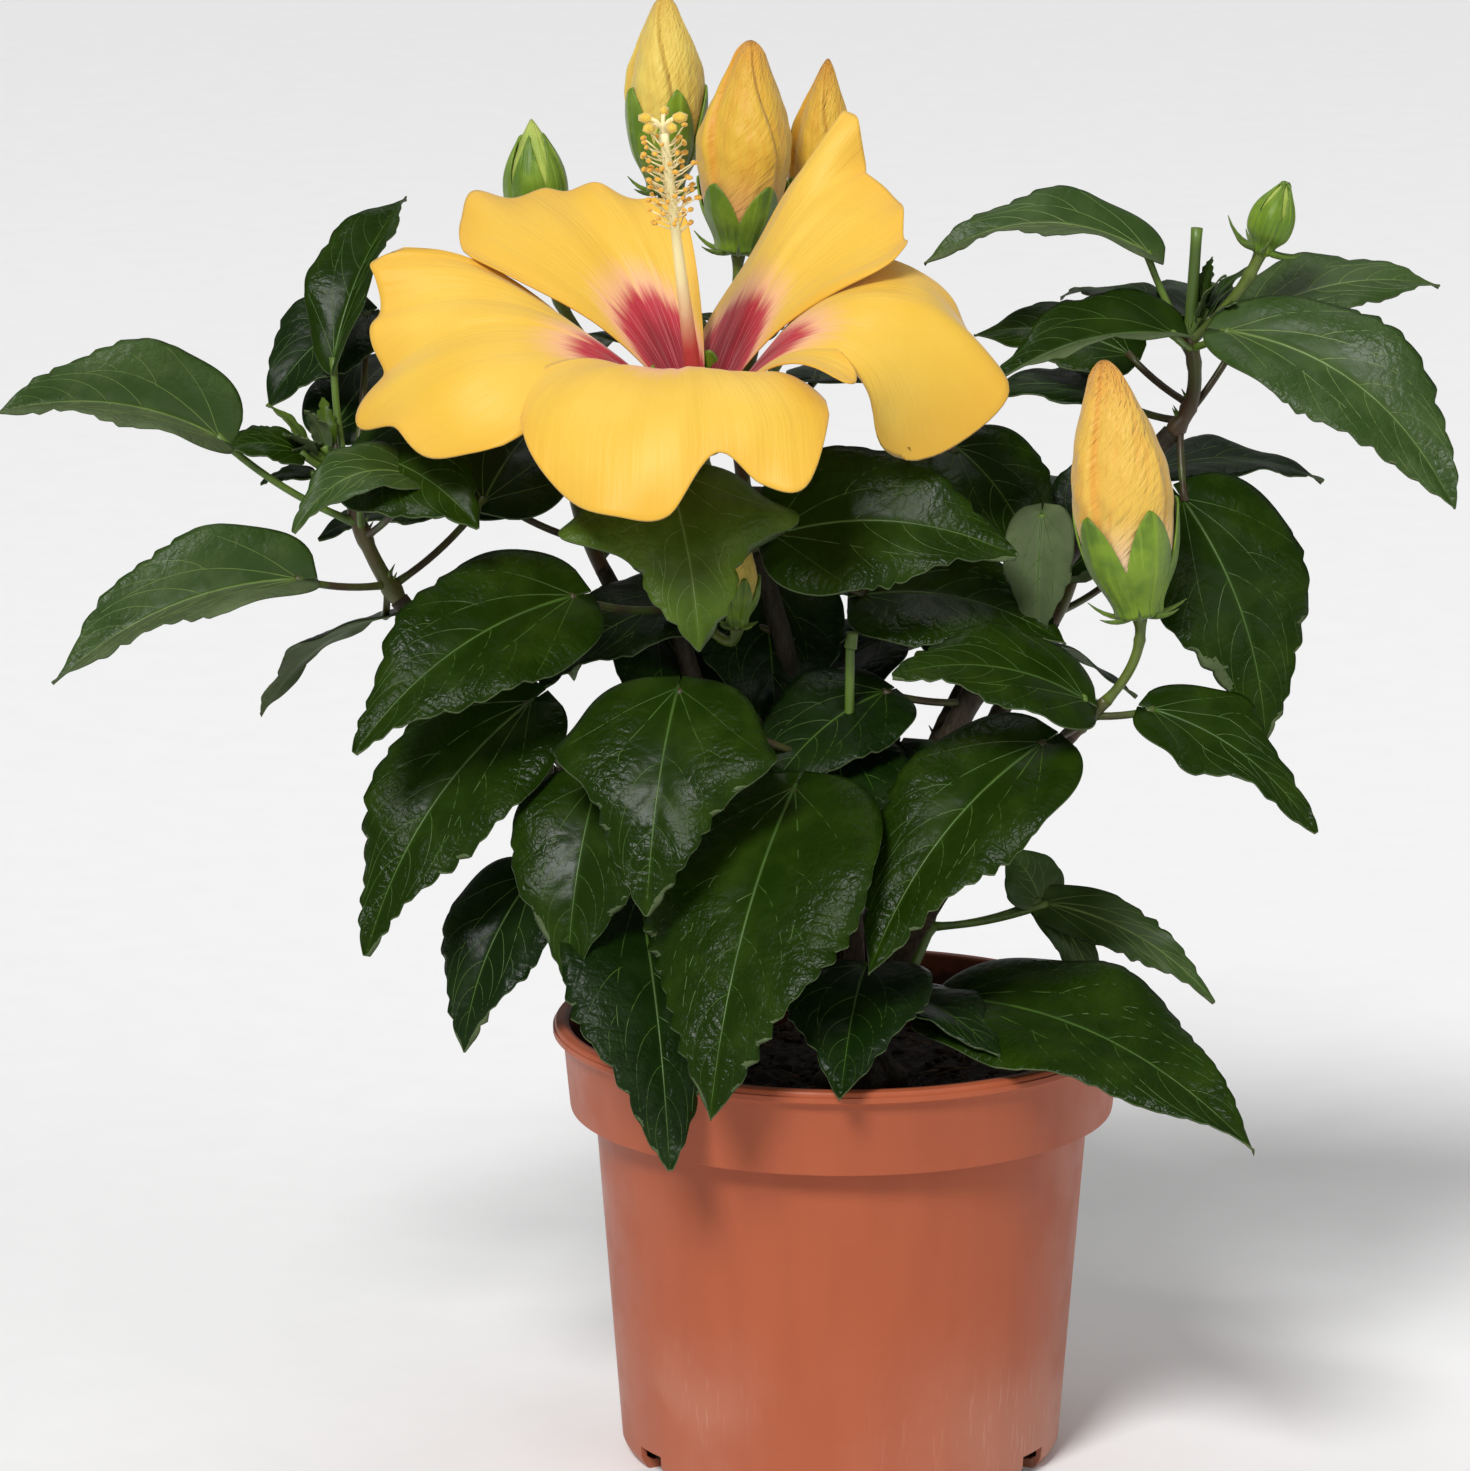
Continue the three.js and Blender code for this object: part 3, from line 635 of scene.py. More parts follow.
@dataclass(frozen=True)
class PotPlastic:
    """Terracotta-coloured plastic, satin, chalky and lightly scratched towards its foot, and dark brown-black
    high on its inner wall.

    Its heights are in metres. The inner wall lies where the distance from the axis, less flare times the
    height, is under inside.
    """

    colour: Colour = tint(170, 87, 56)
    shade: Colour = tint(156, 78, 49)
    chalk: Colour = tint(212, 172, 152)
    inner_dark: Colour = tint(48, 22, 16)
    chalk_top: float = 0.05
    band_foot: float = 0.08
    flare: float = 0.096
    inside: float = 0.0528
    dark_top: float = 0.0945
    step: float = 0.0002

    def make(self) -> bpy.types.Material:
        """Mixes the plastic.

        Returns:
            The material.
        """
        coat = Coat("pot_plastic", self.colour, 0.42, Specular_IOR_Level=0.25)
        streaks = coat.cloud(coat.spot((60, 60, 7)), 1.6, 4)
        patches = coat.cloud(coat.spot(), 30, 3)
        x, y, z = coat.axes()
        low = coat.between(z, 0.006, self.chalk_top, 1.0, 0.0)
        flank = coat.between(coat.reckon("ABSOLUTE", x), 0.008, 0.034, 0.25, 1.0)
        body = coat.mix(coat.between(streaks, 0.35, 0.7, 0.0, 0.4), self.colour, self.shade)
        handled = coat.times(low, flank)
        body = coat.mix(coat.times(handled, coat.between(patches, 0.4, 0.62, 0.08, 0.26)), body, self.chalk)
        scratches = coat.cloud(coat.spot((1500, 1500, 34)), 1.0, 1, 0.6)
        worn = coat.times(coat.between(patches, 0.42, 0.62), handled)
        body = coat.mix(coat.times(coat.between(scratches, 0.6, 0.72, 0.0, 0.22), worn), body, self.chalk)
        away = coat.reckon("SQRT", coat.plus(coat.reckon("POWER", x, 2.0), coat.reckon("POWER", y, 2.0)))
        slant = coat.minus(away, coat.times(z, self.flare))
        wall = coat.between(slant, self.inside - self.step, self.inside + self.step, 1.0, 0.0)
        # The inner wall turns dark brown-black from the band's foot up to a ragged line under the lip
        inner_band = coat.times(wall, coat.between(z, self.band_foot, self.band_foot + 0.0005))
        ragged = coat.stray(z, coat.cloud(coat.spot(), 260, 4), 0.01)
        darkened = coat.times(inner_band, coat.between(ragged, self.dark_top, self.dark_top + 0.004, 0.94, 0.6))
        coat.paint(coat.mix(darkened, body, self.inner_dark))
        coat.dull(coat.between(coat.cloud(coat.spot(), 90, 4), 0.3, 0.75, 0.36, 0.5))
        coat.relief((coat.cloud(coat.spot((1, 1, 3)), 420, 3), 0.035), (streaks, 0.05))
        return coat.material


@dataclass(frozen=True)
class Peat:
    """Dark moist potting peat."""

    colour: Colour = tint(44, 30, 22)
    dark: Colour = tint(17, 11, 8)
    fibre: Colour = tint(92, 66, 44)

    def make(self, name: str) -> bpy.types.Material:
        """Mixes the peat.

        Args:
            name: the material's name.

        Returns:
            The material.
        """
        coat = Coat(name, self.colour, 0.9, Specular_IOR_Level=0.3)
        crumbs = coat.cloud(coat.spot(), 330, 6, 0.65)
        body = coat.mix(coat.between(crumbs, 0.35, 0.65), self.dark, self.colour)
        fibres = coat.cloud(coat.spot((700, 120, 300)), 1.4, 3)
        coat.paint(coat.mix(coat.between(fibres, 0.64, 0.72, 0.0, 0.7), body, self.fibre))
        coat.dull(coat.between(crumbs, 0.3, 0.7, 0.95, 0.7))
        coat.relief((crumbs, 0.9), (coat.cells(coat.spot(), 500), 0.5))
        return coat.material


@dataclass(frozen=True)
class Bark:
    """Grey-brown bark that turns dark green-brown towards the young wood."""

    colour: Colour = tint(64, 50, 34)
    crack: Colour = tint(30, 22, 14)
    young: Colour = tint(44, 38, 22)
    pore: Colour = tint(122, 102, 76)
    young_from: float = 0.12
    young_at: float = 0.2

    def make(self) -> bpy.types.Material:
        """Mixes the bark.

        Returns:
            The material.
        """
        coat = Coat("bark", self.colour, 0.72, Specular_IOR_Level=0.35)
        _, _, height = coat.axes()
        cracks = coat.cloud(coat.spot((1, 1, 0.28)), 900, 5, 0.6)
        pores = coat.cloud(coat.spot((1, 1, 2.2)), 1500, 2)
        body = coat.mix(coat.between(height, self.young_from, self.young_at), self.colour, self.young)
        body = coat.mix(coat.between(cracks, 0.36, 0.56, 0.7, 0.0), body, self.crack)
        coat.paint(coat.mix(coat.between(pores, 0.66, 0.74, 0.0, 0.35), body, self.pore))
        coat.dull(coat.between(cracks, 0.3, 0.7, 0.8, 0.55))
        coat.relief((cracks, 0.22), (pores, 0.06))
        return coat.material


@dataclass(frozen=True)
class GreenStem:
    """The smooth green skin of shoots, stalks and stubs."""

    name: str
    colour: Colour
    blush: Colour
    share: float = 0.5

    def make(self) -> bpy.types.Material:
        """Mixes the stem's skin.

        Returns:
            The material.
        """
        coat = Coat(self.name, self.colour, 0.42, Specular_IOR_Level=0.45)
        mottle = coat.cloud(coat.spot((1, 1, 0.4)), 150, 4)
        low = 0.75 - self.share * 0.5
        coat.paint(coat.mix(coat.between(mottle, low - 0.14, low + 0.14), self.colour, self.blush))
        coat.dull(coat.between(mottle, 0.3, 0.7, 0.35, 0.52))
        coat.relief((coat.cloud(coat.spot((1, 1, 0.15)), 1500, 2), 0.06))
        return coat.material


@dataclass(frozen=True)
class LeafSkin:
    """One side of a leaf: its green, its mottling and the fine net between its veins."""

    name: str
    colour: Colour
    light: Colour
    gloss: float
    shine: float = 0.13
    net: float = 0.1

    def make(self) -> bpy.types.Material:
        """Mixes the leaf's skin.

        Returns:
            The material.
        """
        coat = Coat(self.name, self.colour, self.gloss, Specular_IOR_Level=self.shine)
        across, along = coat.weave()
        side = coat.reckon("ABSOLUTE", across)
        outer = coat.reckon("MAXIMUM", coat.between(side, 3, 12, 0.15), coat.between(along, 24, 48))
        mottle = coat.cloud(coat.spot(), 95, 3, 0.55)
        net = coat.cells(coat.vector(across, along), 0.75, "2D")
        coarse = coat.cells(coat.vector(across, coat.times(along, 1.5)), 0.24, "2D")
        body = coat.mix(coat.between(mottle, 0.4, 0.75, 0.0, 0.7), self.colour, self.light)
        thin = coat.between(net, 0.0, 0.07, 0.14, 0.0)
        lines = coat.reckon("MAXIMUM", thin, coat.between(coarse, 0.0, 0.035, 0.3, 0.0))
        body = coat.mix(coat.times(lines, outer), body, self.light)
        coat.paint(coat.mix(coat.between(side, 0.0, 1.2, 0.4, 0.0), body, self.light))
        coat.dull(coat.between(mottle, 0.3, 0.7, self.gloss - 0.05, self.gloss + 0.07))
        swell = coat.times(coat.between(coarse, 0.0, 0.3), outer)
        coat.relief((swell, self.net), (coat.times(coat.between(net, 0.0, 0.25), outer), self.net * 0.4))
        return coat.material


@dataclass(frozen=True)
class PetalSkin:
    """Hibiscus petal: deep yellow with orange rims, a pale halo and a crimson eye drawn out in streaks."""

    name: str = "petal"
    yellow: Colour = tint(228, 182, 57)
    rim: Colour = tint(228, 162, 50)
    pale: Colour = tint(232, 192, 76)
    halo: Colour = tint(238, 178, 146)
    eye: Colour = tint(182, 36, 54)
    deep: Colour = tint(126, 22, 34)
    streak: Colour = tint(222, 128, 132)

    def make(self) -> bpy.types.Material:
        """Mixes the petal's skin.

        Returns:
            The material.
        """
        coat = Coat(self.name, self.yellow, 0.5, Specular_IOR_Level=0.3, Sheen_Weight=0.25)
        coat.surface.subsurface_method = "RANDOM_WALK"
        across, along = coat.weave()
        side = coat.reckon("ABSOLUTE", coat.minus(coat.times(across, 2.0), 1.0))
        fan = coat.scaled(across, along, 26.0, 1.6)
        streaks = coat.cloud(fan, 1.0, 4, 0.6)
        fine = coat.cloud(coat.scaled(across, along, 90.0, 2.5), 1.0, 2)
        clouds = coat.cloud(coat.spot(), 28, 3)
        body = coat.mix(coat.between(clouds, 0.35, 0.7), self.yellow, self.pale)
        edge = coat.reckon("MAXIMUM", coat.reckon("POWER", side, 7.0), coat.between(along, 0.86, 1.0))
        body = coat.mix(coat.times(edge, 0.3), body, self.rim)
        body = coat.mix(coat.between(fine, 0.54, 0.7, 0.0, 0.08), body, self.rim)
        reach = coat.stray(along, streaks, 0.2)
        reach = coat.plus(reach, coat.times(coat.reckon("POWER", side, 2.0), 0.22))
        body = coat.mix(coat.between(reach, 0.36, 0.56, 0.85, 0.0), body, self.halo)
        body = coat.mix(coat.between(reach, 0.33, 0.42, 1.0, 0.0), body, self.eye)
        body = coat.mix(coat.between(reach, 0.2, 0.34, 0.75, 0.0), body, self.deep)
        drawn = coat.times(coat.between(reach, 0.4, 0.44, 1.0, 0.0), coat.between(fine, 0.5, 0.66, 0.0, 0.4))
        coat.paint(coat.mix(drawn, body, self.streak))
        coat.relief((fine, 0.05), (streaks, 0.35))
        return coat.material


@dataclass(frozen=True)
class FurledSkin:
    """The outside of a bud's furled petals: yellow, orange at the tip and pale at the foot, with painted
    shade in orange in its seams and crinkles.

    Its UV map counts the petals across, from seam to seam.
    """

    name: str
    yellow: Colour
    fold: Colour
    foot: Colour = tint(232, 200, 176)
    crinkled: float = 0.7

    def make(self) -> bpy.types.Material:
        """Mixes the bud's skin.

        Returns:
            The material.
        """
        coat = Coat(self.name, self.yellow, 0.5, Specular_IOR_Level=0.3, Sheen_Weight=0.2)
        around, along = coat.weave()
        slant = coat.minus(coat.times(around, 3.0), coat.times(along, 4.0))
        crinkle = coat.cloud(coat.vector(slant, coat.times(along, 2.6)), 1.5, 3, 0.6)
        ribs = coat.cloud(coat.scaled(around, along, 12.0, 3.0), 1.0, 2)
        across = coat.plus(coat.times(around, -9.0), coat.times(along, 46.0))
        wrinkles = coat.cloud(coat.vector(across, coat.times(around, 2.4)), 1.0, 2, 0.6)
        seam = coat.reckon("ABSOLUTE", coat.minus(coat.reckon("FRACT", coat.plus(around, 0.5)), 0.49))
        body = coat.mix(coat.between(ribs, 0.5, 0.75, 0.0, 0.25), self.yellow, self.fold)
        # Painted shade: the hollows of the crinkles take the deeper orange
        body = coat.mix(coat.between(crinkle, 0.3, 0.5, 0.4, 0.0), body, self.fold)
        body = coat.mix(coat.between(along, 0.62, 1.0, 0.0, 0.8), body, self.fold)
        body = coat.mix(coat.between(along, 0.25, 0.46, 0.85, 0.0), body, self.foot)
        # Painted shade: the seams, where one petal laps over the next, take the deeper orange
        coat.paint(coat.mix(coat.between(seam, 0.01, 0.06, 0.5, 0.0), body, self.fold))
        coat.relief((crinkle, self.crinkled), (ribs, 0.15), (wrinkles, 0.6 * self.crinkled))
        return coat.material


@dataclass(frozen=True)
class SepalSkin:
    """Calyx and bract green, ribbed along its length."""

    name: str = "sepal"
    colour: Colour = tint(114, 144, 22)
    dark: Colour = tint(84, 116, 14)
    light: Colour = tint(138, 162, 46)

    def make(self) -> bpy.types.Material:
        """Mixes the sepal's skin.

        Returns:
            The material.
        """
        coat = Coat(self.name, self.colour, 0.45, Specular_IOR_Level=0.4, Sheen_Weight=0.15)
        around, along = coat.weave()
        ribs = coat.cloud(coat.scaled(around, along, 40.0, 1.5), 1.0, 3)
        mottle = coat.cloud(coat.spot(), 160, 3)
        body = coat.mix(coat.between(mottle, 0.35, 0.68), self.dark, self.colour)
        coat.paint(coat.mix(coat.between(ribs, 0.54, 0.68, 0.0, 0.4), body, self.light))
        coat.relief((ribs, 0.4), (coat.cloud(coat.spot(), 1200, 2), 0.06))
        return coat.material


@dataclass(frozen=True)
class ColumnSkin:
    """The column's smooth cream, red at its foot."""

    cream: Colour = tint(255, 246, 192)
    red: Colour = tint(214, 60, 66)

    def make(self) -> bpy.types.Material:
        """Mixes the column's skin.

        Returns:
            The material.
        """
        coat = Coat("column", self.cream, 0.4, Specular_IOR_Level=0.4)
        _, along = coat.weave()
        reach = coat.stray(along, coat.cloud(coat.spot((1, 1, 0.3)), 260, 3), 0.15)
        coat.paint(coat.mix(coat.between(reach, 0.22, 0.52, 0.95, 0.0), self.cream, self.red))
        coat.relief((coat.cloud(coat.spot((1, 1, 0.2)), 900, 2), 0.08))
        return coat.material


@dataclass(frozen=True)
class Dusty:
    """A small mealy surface, such as pollen or a stigma's pad."""

    name: str
    colour: Colour
    dark: Colour

    def make(self) -> bpy.types.Material:
        """Mixes the dusty surface.

        Returns:
            The material.
        """
        coat = Coat(self.name, self.colour, 0.8, Sheen_Weight=0.4)
        grains = coat.cloud(coat.spot(), 2400, 3)
        coat.paint(coat.mix(coat.between(grains, 0.35, 0.65), self.dark, self.colour))
        coat.relief((grains, 0.25))
        return coat.material


@dataclass(frozen=True)
class Pot:
    """The nursery pot, turned about its axis, with drains through its foot."""

    height: float = 100
    lip_radius: float = 65
    lip_height: float = 3.4
    band_top: float = 62.8
    band_foot: float = 61.2
    band_height: float = 20
    shoulder: float = 55.6
    base_radius: float = 49.6
    foot_radius: float = 48
    chamfer: float = 3
    wall: float = 1.4
    floor: float = 2
    turns: int = 192
    drains: int = 6
    drain_width: float = 9
    drain_height: float = 5.5
    drain_depth: float = 7
    drain_turn: float = 30
    rings: tuple[float, ...] = (0.012, 0.3, 0.6, 0.985)

    def outline(self) -> list[Point]:
        """The section of its wall.

        Returns:
            Its points, from the middle of its underside round to the middle of its floor.
        """
        top, wall, shoulder, base = self.height, self.wall, self.shoulder, self.base_radius
        foot = top - self.band_height
        lip = top - self.lip_height
        edge, band, collar = self.lip_radius, self.band_foot, self.band_top
        low = self.chamfer
        points = [(0, 0), (self.foot_radius - 0.8, 0), (self.foot_radius, 0.5)]
        points += [(base - 0.5, low - 1.1), (base, low)]
        points += [(base + (shoulder - base) * t, low + (foot - low) * t) for t in self.rings]
        points += [(shoulder + 0.25, foot + 0.05), (band - 0.7, foot), (band - 0.15, foot + 0.2)]
        points += [(band, foot + 0.8), (collar - 0.1, lip - 0.8), (collar + 0.3, lip)]
        points += [(edge - 0.5, lip + 0.45), (edge, lip + 0.95), (edge, top - 1.3), (edge - 0.4, top - 1.1)]
        points += [(edge - 0.45, top - 0.5), (edge - 0.7, top - 0.15), (edge - 1.1, top)]
        points += [(collar - wall + 0.4, top), (collar - wall, top - 0.4), (collar - wall - 0.4, lip)]
        points += [(band - wall, foot + wall), (shoulder - wall, foot + wall - 0.8)]
        points += [(base - wall, low), (self.foot_radius - wall, self.floor), (0, self.floor)]
        return [(radius, 0.0, z) for radius, z in points]

    def build(self) -> bpy.types.Object:
        """Spins the wall and cuts the drains.

        Returns:
            The pot.
        """
        piece = Piece("pot_shell", "pot", [PotPlastic().make()])
        mesh = bmesh.new()
        verts = [mesh.verts.new(point) for point in self.outline()]
        edges = [mesh.edges.new(pair) for pair in zip(verts, verts[1:])]
        bmesh.ops.spin(mesh, geom=verts + edges, cent=(0, 0, 0), axis=(0, 0, 1), angle=2 * math.pi,
                       steps=self.turns, use_merge=True)
        piece.take(closed(mesh))
        pot = piece.finish("pot", sharp=32)
        cutter = self.cutters()
        cut = pot.modifiers.new("drains", "BOOLEAN")
        cut.operation = "DIFFERENCE"
        cut.solver = "EXACT"
        cut.object = cutter
        shaped = bpy.data.meshes.new_from_object(pot.evaluated_get(bpy.context.evaluated_depsgraph_get()))
        pot.modifiers.clear()
        pot.data = shaped
        bpy.data.objects.remove(cutter)
        return pot

    def cutters(self) -> bpy.types.Object:
        """The blocks that are cut out of the foot of the wall.

        Returns:
            The blocks as one object.
        """
        mesh = bmesh.new()
        for i in range(self.drains):
            made = bmesh.ops.create_cube(mesh, size=1.0)["verts"]
            size = (2 * self.drain_depth, self.drain_width, 2 * self.drain_height)
            bmesh.ops.scale(mesh, vec=size, verts=made)
            bmesh.ops.translate(mesh, vec=(self.foot_radius + 0.5, 0, 0), verts=made)
            turn = Quaternion(UP, math.radians(self.drain_turn + 360 / self.drains * i)).to_matrix()
            bmesh.ops.rotate(mesh, cent=(0, 0, 0), matrix=turn, verts=made)
        bmesh.ops.scale(mesh, vec=(MM, MM, MM), verts=mesh.verts)
        return as_object("drain_cutters", mesh)


@dataclass(frozen=True)
class Soil:
    """The peat in the pot: its crumbly surface, and the loose crumbs and fibres on it."""

    pot: Pot
    crumbs: int = 420
    fibres: int = 60
    rough: float = 1.6
    rings: int = 60

    @property
    def reach(self) -> float:
        """The radius of the peat's surface."""
        return self.pot.band_foot - self.pot.wall - GAP

    def level(self, x: float, y: float) -> float:
        """The height of the surface at a place.

        Args:
            x: the place along +X.
            y: the place along +Y.

        Returns:
            The height.
        """
        away = math.hypot(x, y) / self.reach
        lumps = noise.fractal(Vector((x, y, 3.0)) * 0.09, 1.0, 2.0, 4)
        crumbs = noise.fractal(Vector((x, y, 9.0)) * 0.45, 0.8, 2.0, 3)
        return SOIL_TOP - 0.9 + self.rough * lumps + 0.7 * crumbs - 2.4 * away**6

    def build(self) -> list[bpy.types.Object]:
        """The bed and the loose pieces on it.

        Returns:
            Both pieces.
        """
        bed = Piece("peat_bed", "soil", [Peat().make("peat")])
        pot = self.pot
        floor = pot.floor + GAP
        inset = pot.wall + GAP
        ledge = pot.height - pot.band_height
        side = [(0, floor), (pot.base_radius - inset - 2, floor)]
        side += [(pot.shoulder - inset - 1, ledge - 2), (self.reach, ledge + 2)]

        def place(across: float, share: float) -> Vector:
            """The block's point at (across, share)."""
            turn = math.pi * across
            row = round(share * self.rings)
            if row < len(side):
                away, z = side[row]
                return Vector((away * math.cos(turn), away * math.sin(turn), z))
            away = self.reach * (self.rings - row) / (self.rings - len(side))
            x, y = away * math.cos(turn), away * math.sin(turn)
            return Vector((x, y, self.level(x, y)))

        bed.take(closed(woven(120, self.rings, place), 1e-2))
        loose = Piece("peat_crumbs", "soil", [Peat(tint(58, 41, 29), tint(24, 16, 11)).make("peat_crumb"),
                                              Peat(tint(112, 84, 56), tint(60, 42, 28)).make("peat_fibre")])
        draw = seeded(SEED + 1)
        for _ in range(self.crumbs):
            away, turn = self.reach * 0.97 * math.sqrt(next(draw)), 2 * math.pi * next(draw)
            x, y = away * math.cos(turn), away * math.sin(turn)
            size = 0.5 + 1.5 * next(draw) ** 2
            crumb = blank()
            bmesh.ops.create_icosphere(crumb, subdivisions=1, radius=size)
            for vert in crumb.verts:
                vert.co *= 0.75 + 0.5 * next(draw)
            bmesh.ops.scale(crumb, vec=(1, 0.8, 0.62), verts=crumb.verts)
            bmesh.ops.translate(crumb, vec=(x, y, self.level(x, y) + size * 0.25), verts=crumb.verts)
            loose.take(crumb, 0)
        for _ in range(self.fibres):
            away, turn = self.reach * 0.9 * math.sqrt(next(draw)), 2 * math.pi * next(draw)
            foot_point = Vector((away * math.cos(turn), away * math.sin(turn), 0))
            foot_point.z = self.level(foot_point.x, foot_point.y) + 0.3
            reach = (360 * next(draw), 12 * next(draw) - 4, 4 + 7 * next(draw))
            path = Bend.bowed(foot_point, reach, 0.12 * next(draw)).points(5)
            loose.take(tube(path, lambda t: 0.28 - 0.12 * t, 4), 1)
        return [bed.finish("soil"), loose.finish()]


@dataclass(frozen=True)
class Bough:
    """One bough: where it leaves the trunk, its direction there, its tip, and its radius at both ends."""

    at: float
    start: tuple[float, float]
    tip: Point
    radius: tuple[float, float]


BOUGHS = {
    "left": Bough(0.62, (180, 30), (-99, 5, 195), (3.1, 2.2)),
    "left_low": Bough(0.35, (196, 34), (-62, -6, 160), (2.6, 1.9)),
    "right": Bough(0.72, (4, 78), (73, 4, 233), (3.2, 2.3)),
    "right_low": Bough(0.3, (-52, 62), (50, -25, 171), (2.8, 1.9)),
    "right_mid": Bough(0.85, (20, 76), (40, 16, 196), (2.6, 1.8)),
    "bloom": Bough(0.95, (172, 50), (-37, 6, 190), (3, 2.1)),
    "crown": Bough(1, (150, 80), (-19, 10, 205), (3, 2.1)),
    "front": Bough(0.5, (-98, 66), (2, -9, 134), (2.8, 2.1)),
    "back_left": Bough(0.6, (148, 52), (-54, 34, 196), (2.8, 1.9)),
    "back": Bough(0.25, (88, 50), (4, 44, 170), (2.6, 1.9)),
    "foot": Bough(0.3, (-14, 34), (12, -4, 104), (2.6, 1.9)),
    "back_right": Bough(0.45, (50, 58), (48, 34, 184), (2.7, 1.9)),
    "low": Bough(0.2, (150, 40), (-32, 26, 128), (2.4, 1.8)),
}


class Wood:
    """The trunk and its boughs, with the relief of their bark."""

    foot = Vector((4, 0, SOIL_TOP + GAP))
    tip = Vector((2.5, 1, 111))
    flare = 10.0
    radius = 5.6
    tip_radius = 4.4
    sunk = 2.5

    def __init__(self) -> None:
        """Lays out the trunk's curve and the boughs'."""
        self.trunk = Bend.leaving(self.foot, UP, self.tip)
        self.boughs = {
            name: Bend.leaving(self.trunk.point(bough.at), heading(*bough.start), Vector(bough.tip))
            for name, bough in BOUGHS.items()
        }

    def girth(self, t: float) -> float:
        """The trunk's radius at a share of its length, with the flare of its roots."""
        if t < 0.3:
            return self.radius + (self.flare - self.radius) * (1 - t / 0.3) ** 2
        return self.radius + (self.tip_radius - self.radius) * (t - 0.3) / 0.7

    def furrows(self, size: float, seed: float, length: float) -> Relief:
        """The relief of the bark on a limb.

        Args:
            size: how deep it goes, in millimetres.
            seed: sets one limb's bark apart from another's.
            length: the limb's length.

        Returns:
            A function of (turn, share of the length) that gives the height.
        """

        def height(turn: float, t: float) -> float:
            """How far the bark stands out at (turn, t)."""
            spot = Vector((math.cos(turn) * 2.2, math.sin(turn) * 2.2, t * length * 0.09 + seed))
            ridge = noise.fractal(spot, 0.9, 2.1, 4)
            scars = (9 + 13.5 * k + 3 * math.sin(seed + k) for k in range(int(length / 13)))
            return size * 0.55 * (ridge + sum(hump(t * length, scar, 0.9) for scar in scars))

        return height

    def build(self) -> bpy.types.Object:
        """The trunk and every bough as one piece.

        Returns:
            The piece.
        """
        piece = Piece("bark_limbs", "bark", [Bark().make()])
        path = [self.foot - UP * self.sunk] + self.trunk.points(28) + [self.tip + UP * 1.2]
        roots = self.furrows(0.9, 1.0, 26)

        def relief(turn: float, t: float) -> float:
            """How far the bark stands out at (turn, t)."""
            return roots(turn, t) + 1.3 * smooth(0.35, 0.0, t) * math.cos(5 * turn + 0.7)


        def girth(t: float) -> float:
            """The trunk's radius at a share t of its length."""
            return self.girth(max(t * 1.1 - 0.08, 0)) * (1 if t < 1 else 0.75)

        piece.take(tube(path, girth, 40, relief))
        for number, (name, curve) in enumerate(self.boughs.items()):
            thick, thin = BOUGHS[name].radius
            steps = max(int(curve.length / 1.3), 16)
            bark = self.furrows(0.32, 10.0 * number, curve.length)
            piece.take(tube(curve.points(steps), lambda t, a=thick, b=thin: a + (b - a) * t, 18, bark))
        return piece.finish("trunk", *(f"bough_{name}" for name in BOUGHS))


class Tone(Enum):
    """How green and how glossy a leaf is, as a number of its mass's finishes. SHADE is painted shade: a
    darker copy of the leaf green for leaves that lie in the plant's shade.
    """

    DEEP = 0
    FRESH = 1
    # Dull, and partly a painted sheen: a paler, greyer green for leaves that face upwards
    DULL = 2
    SHADE = 3
    UNDERSIDE = 4


DEEP, FRESH, DULL, SHADE, UNDERSIDE = Tone

# The numbers of the veins' finishes, after the tones'
VEIN = 5
PALE_VEIN = 6


@dataclass(frozen=True)
class Leaf:
    """One leaf: where it sits on its shoot, its stalk and blade as (azimuth, rise, length), and its shape.

    Roll and fold are in degrees: the blade's turn about its midrib, and how far its halves are folded up.
    Width, arch, curl and wave are shares of its sizes: its half width, the bow of its midrib, how far its
    margins turn down, and its ripples. Lobes draws out the tip, teeth scales the teeth, reach over 1 shifts
    the widest place outwards, and near is the tone of the upper side of the half that faces the front; the
    underside's paler tone there is partly a painted sheen.
    """

    at: float
    stalk: Point
    blade: Point
    roll: float = 0.0
    width: float = 0.3
    fold: float = 14.0
    arch: float = 0.1
    tone: Tone = Tone.DEEP
    lobes: float = 0.0
    teeth: float = 1.0
    reach: float = 1.0
    near: Tone | None = None
    curl: float = 0.16
    wave: float = 0.02


@dataclass(frozen=True)
class Grown:
    """The leaves that a shoot grows by rule, and the numbers of those that would touch a limb.

    Turn is the first leaf's azimuth, and stalk and blade are each a mean rise and length.
    """

    count: int
    turn: float
    stalk: tuple[float, float]
    blade: tuple[float, float]
    skipped: tuple[int, ...] = ()

    def leaves(self, draw: Iterator[float]) -> list[Leaf]:
        """Sets the leaves round their stem in a spiral, each nodding a little differently.

        Args:
            draw: the plant's seeded numbers.

        Returns:
            The leaves that are kept.
        """
        made = []
        for i in range(self.count):
            azimuth = self.turn + 137.5 * i
            rise = self.stalk[0] + 16 * next(draw) - 8
            nod = self.blade[0] + 20 * next(draw) - 10
            size = self.blade[1] * (0.85 + 0.25 * next(draw))
            swing = 24 * next(draw) - 12
            stalk, blade = (azimuth, rise, self.stalk[1]), (azimuth + swing, nod, size)
            made.append(Leaf((i + 0.4) / self.count, stalk, blade, swing, tone=Tone.SHADE))
        return [leaf for i, leaf in enumerate(made) if i not in self.skipped]


@dataclass(frozen=True)
class Shoot:
    """A leafy shoot: the bough that it grows on from, its tip, its placed leaves and its grown ones."""

    bough: str
    tip: Point
    leaves: tuple[Leaf, ...] = ()
    grown: Grown | None = None


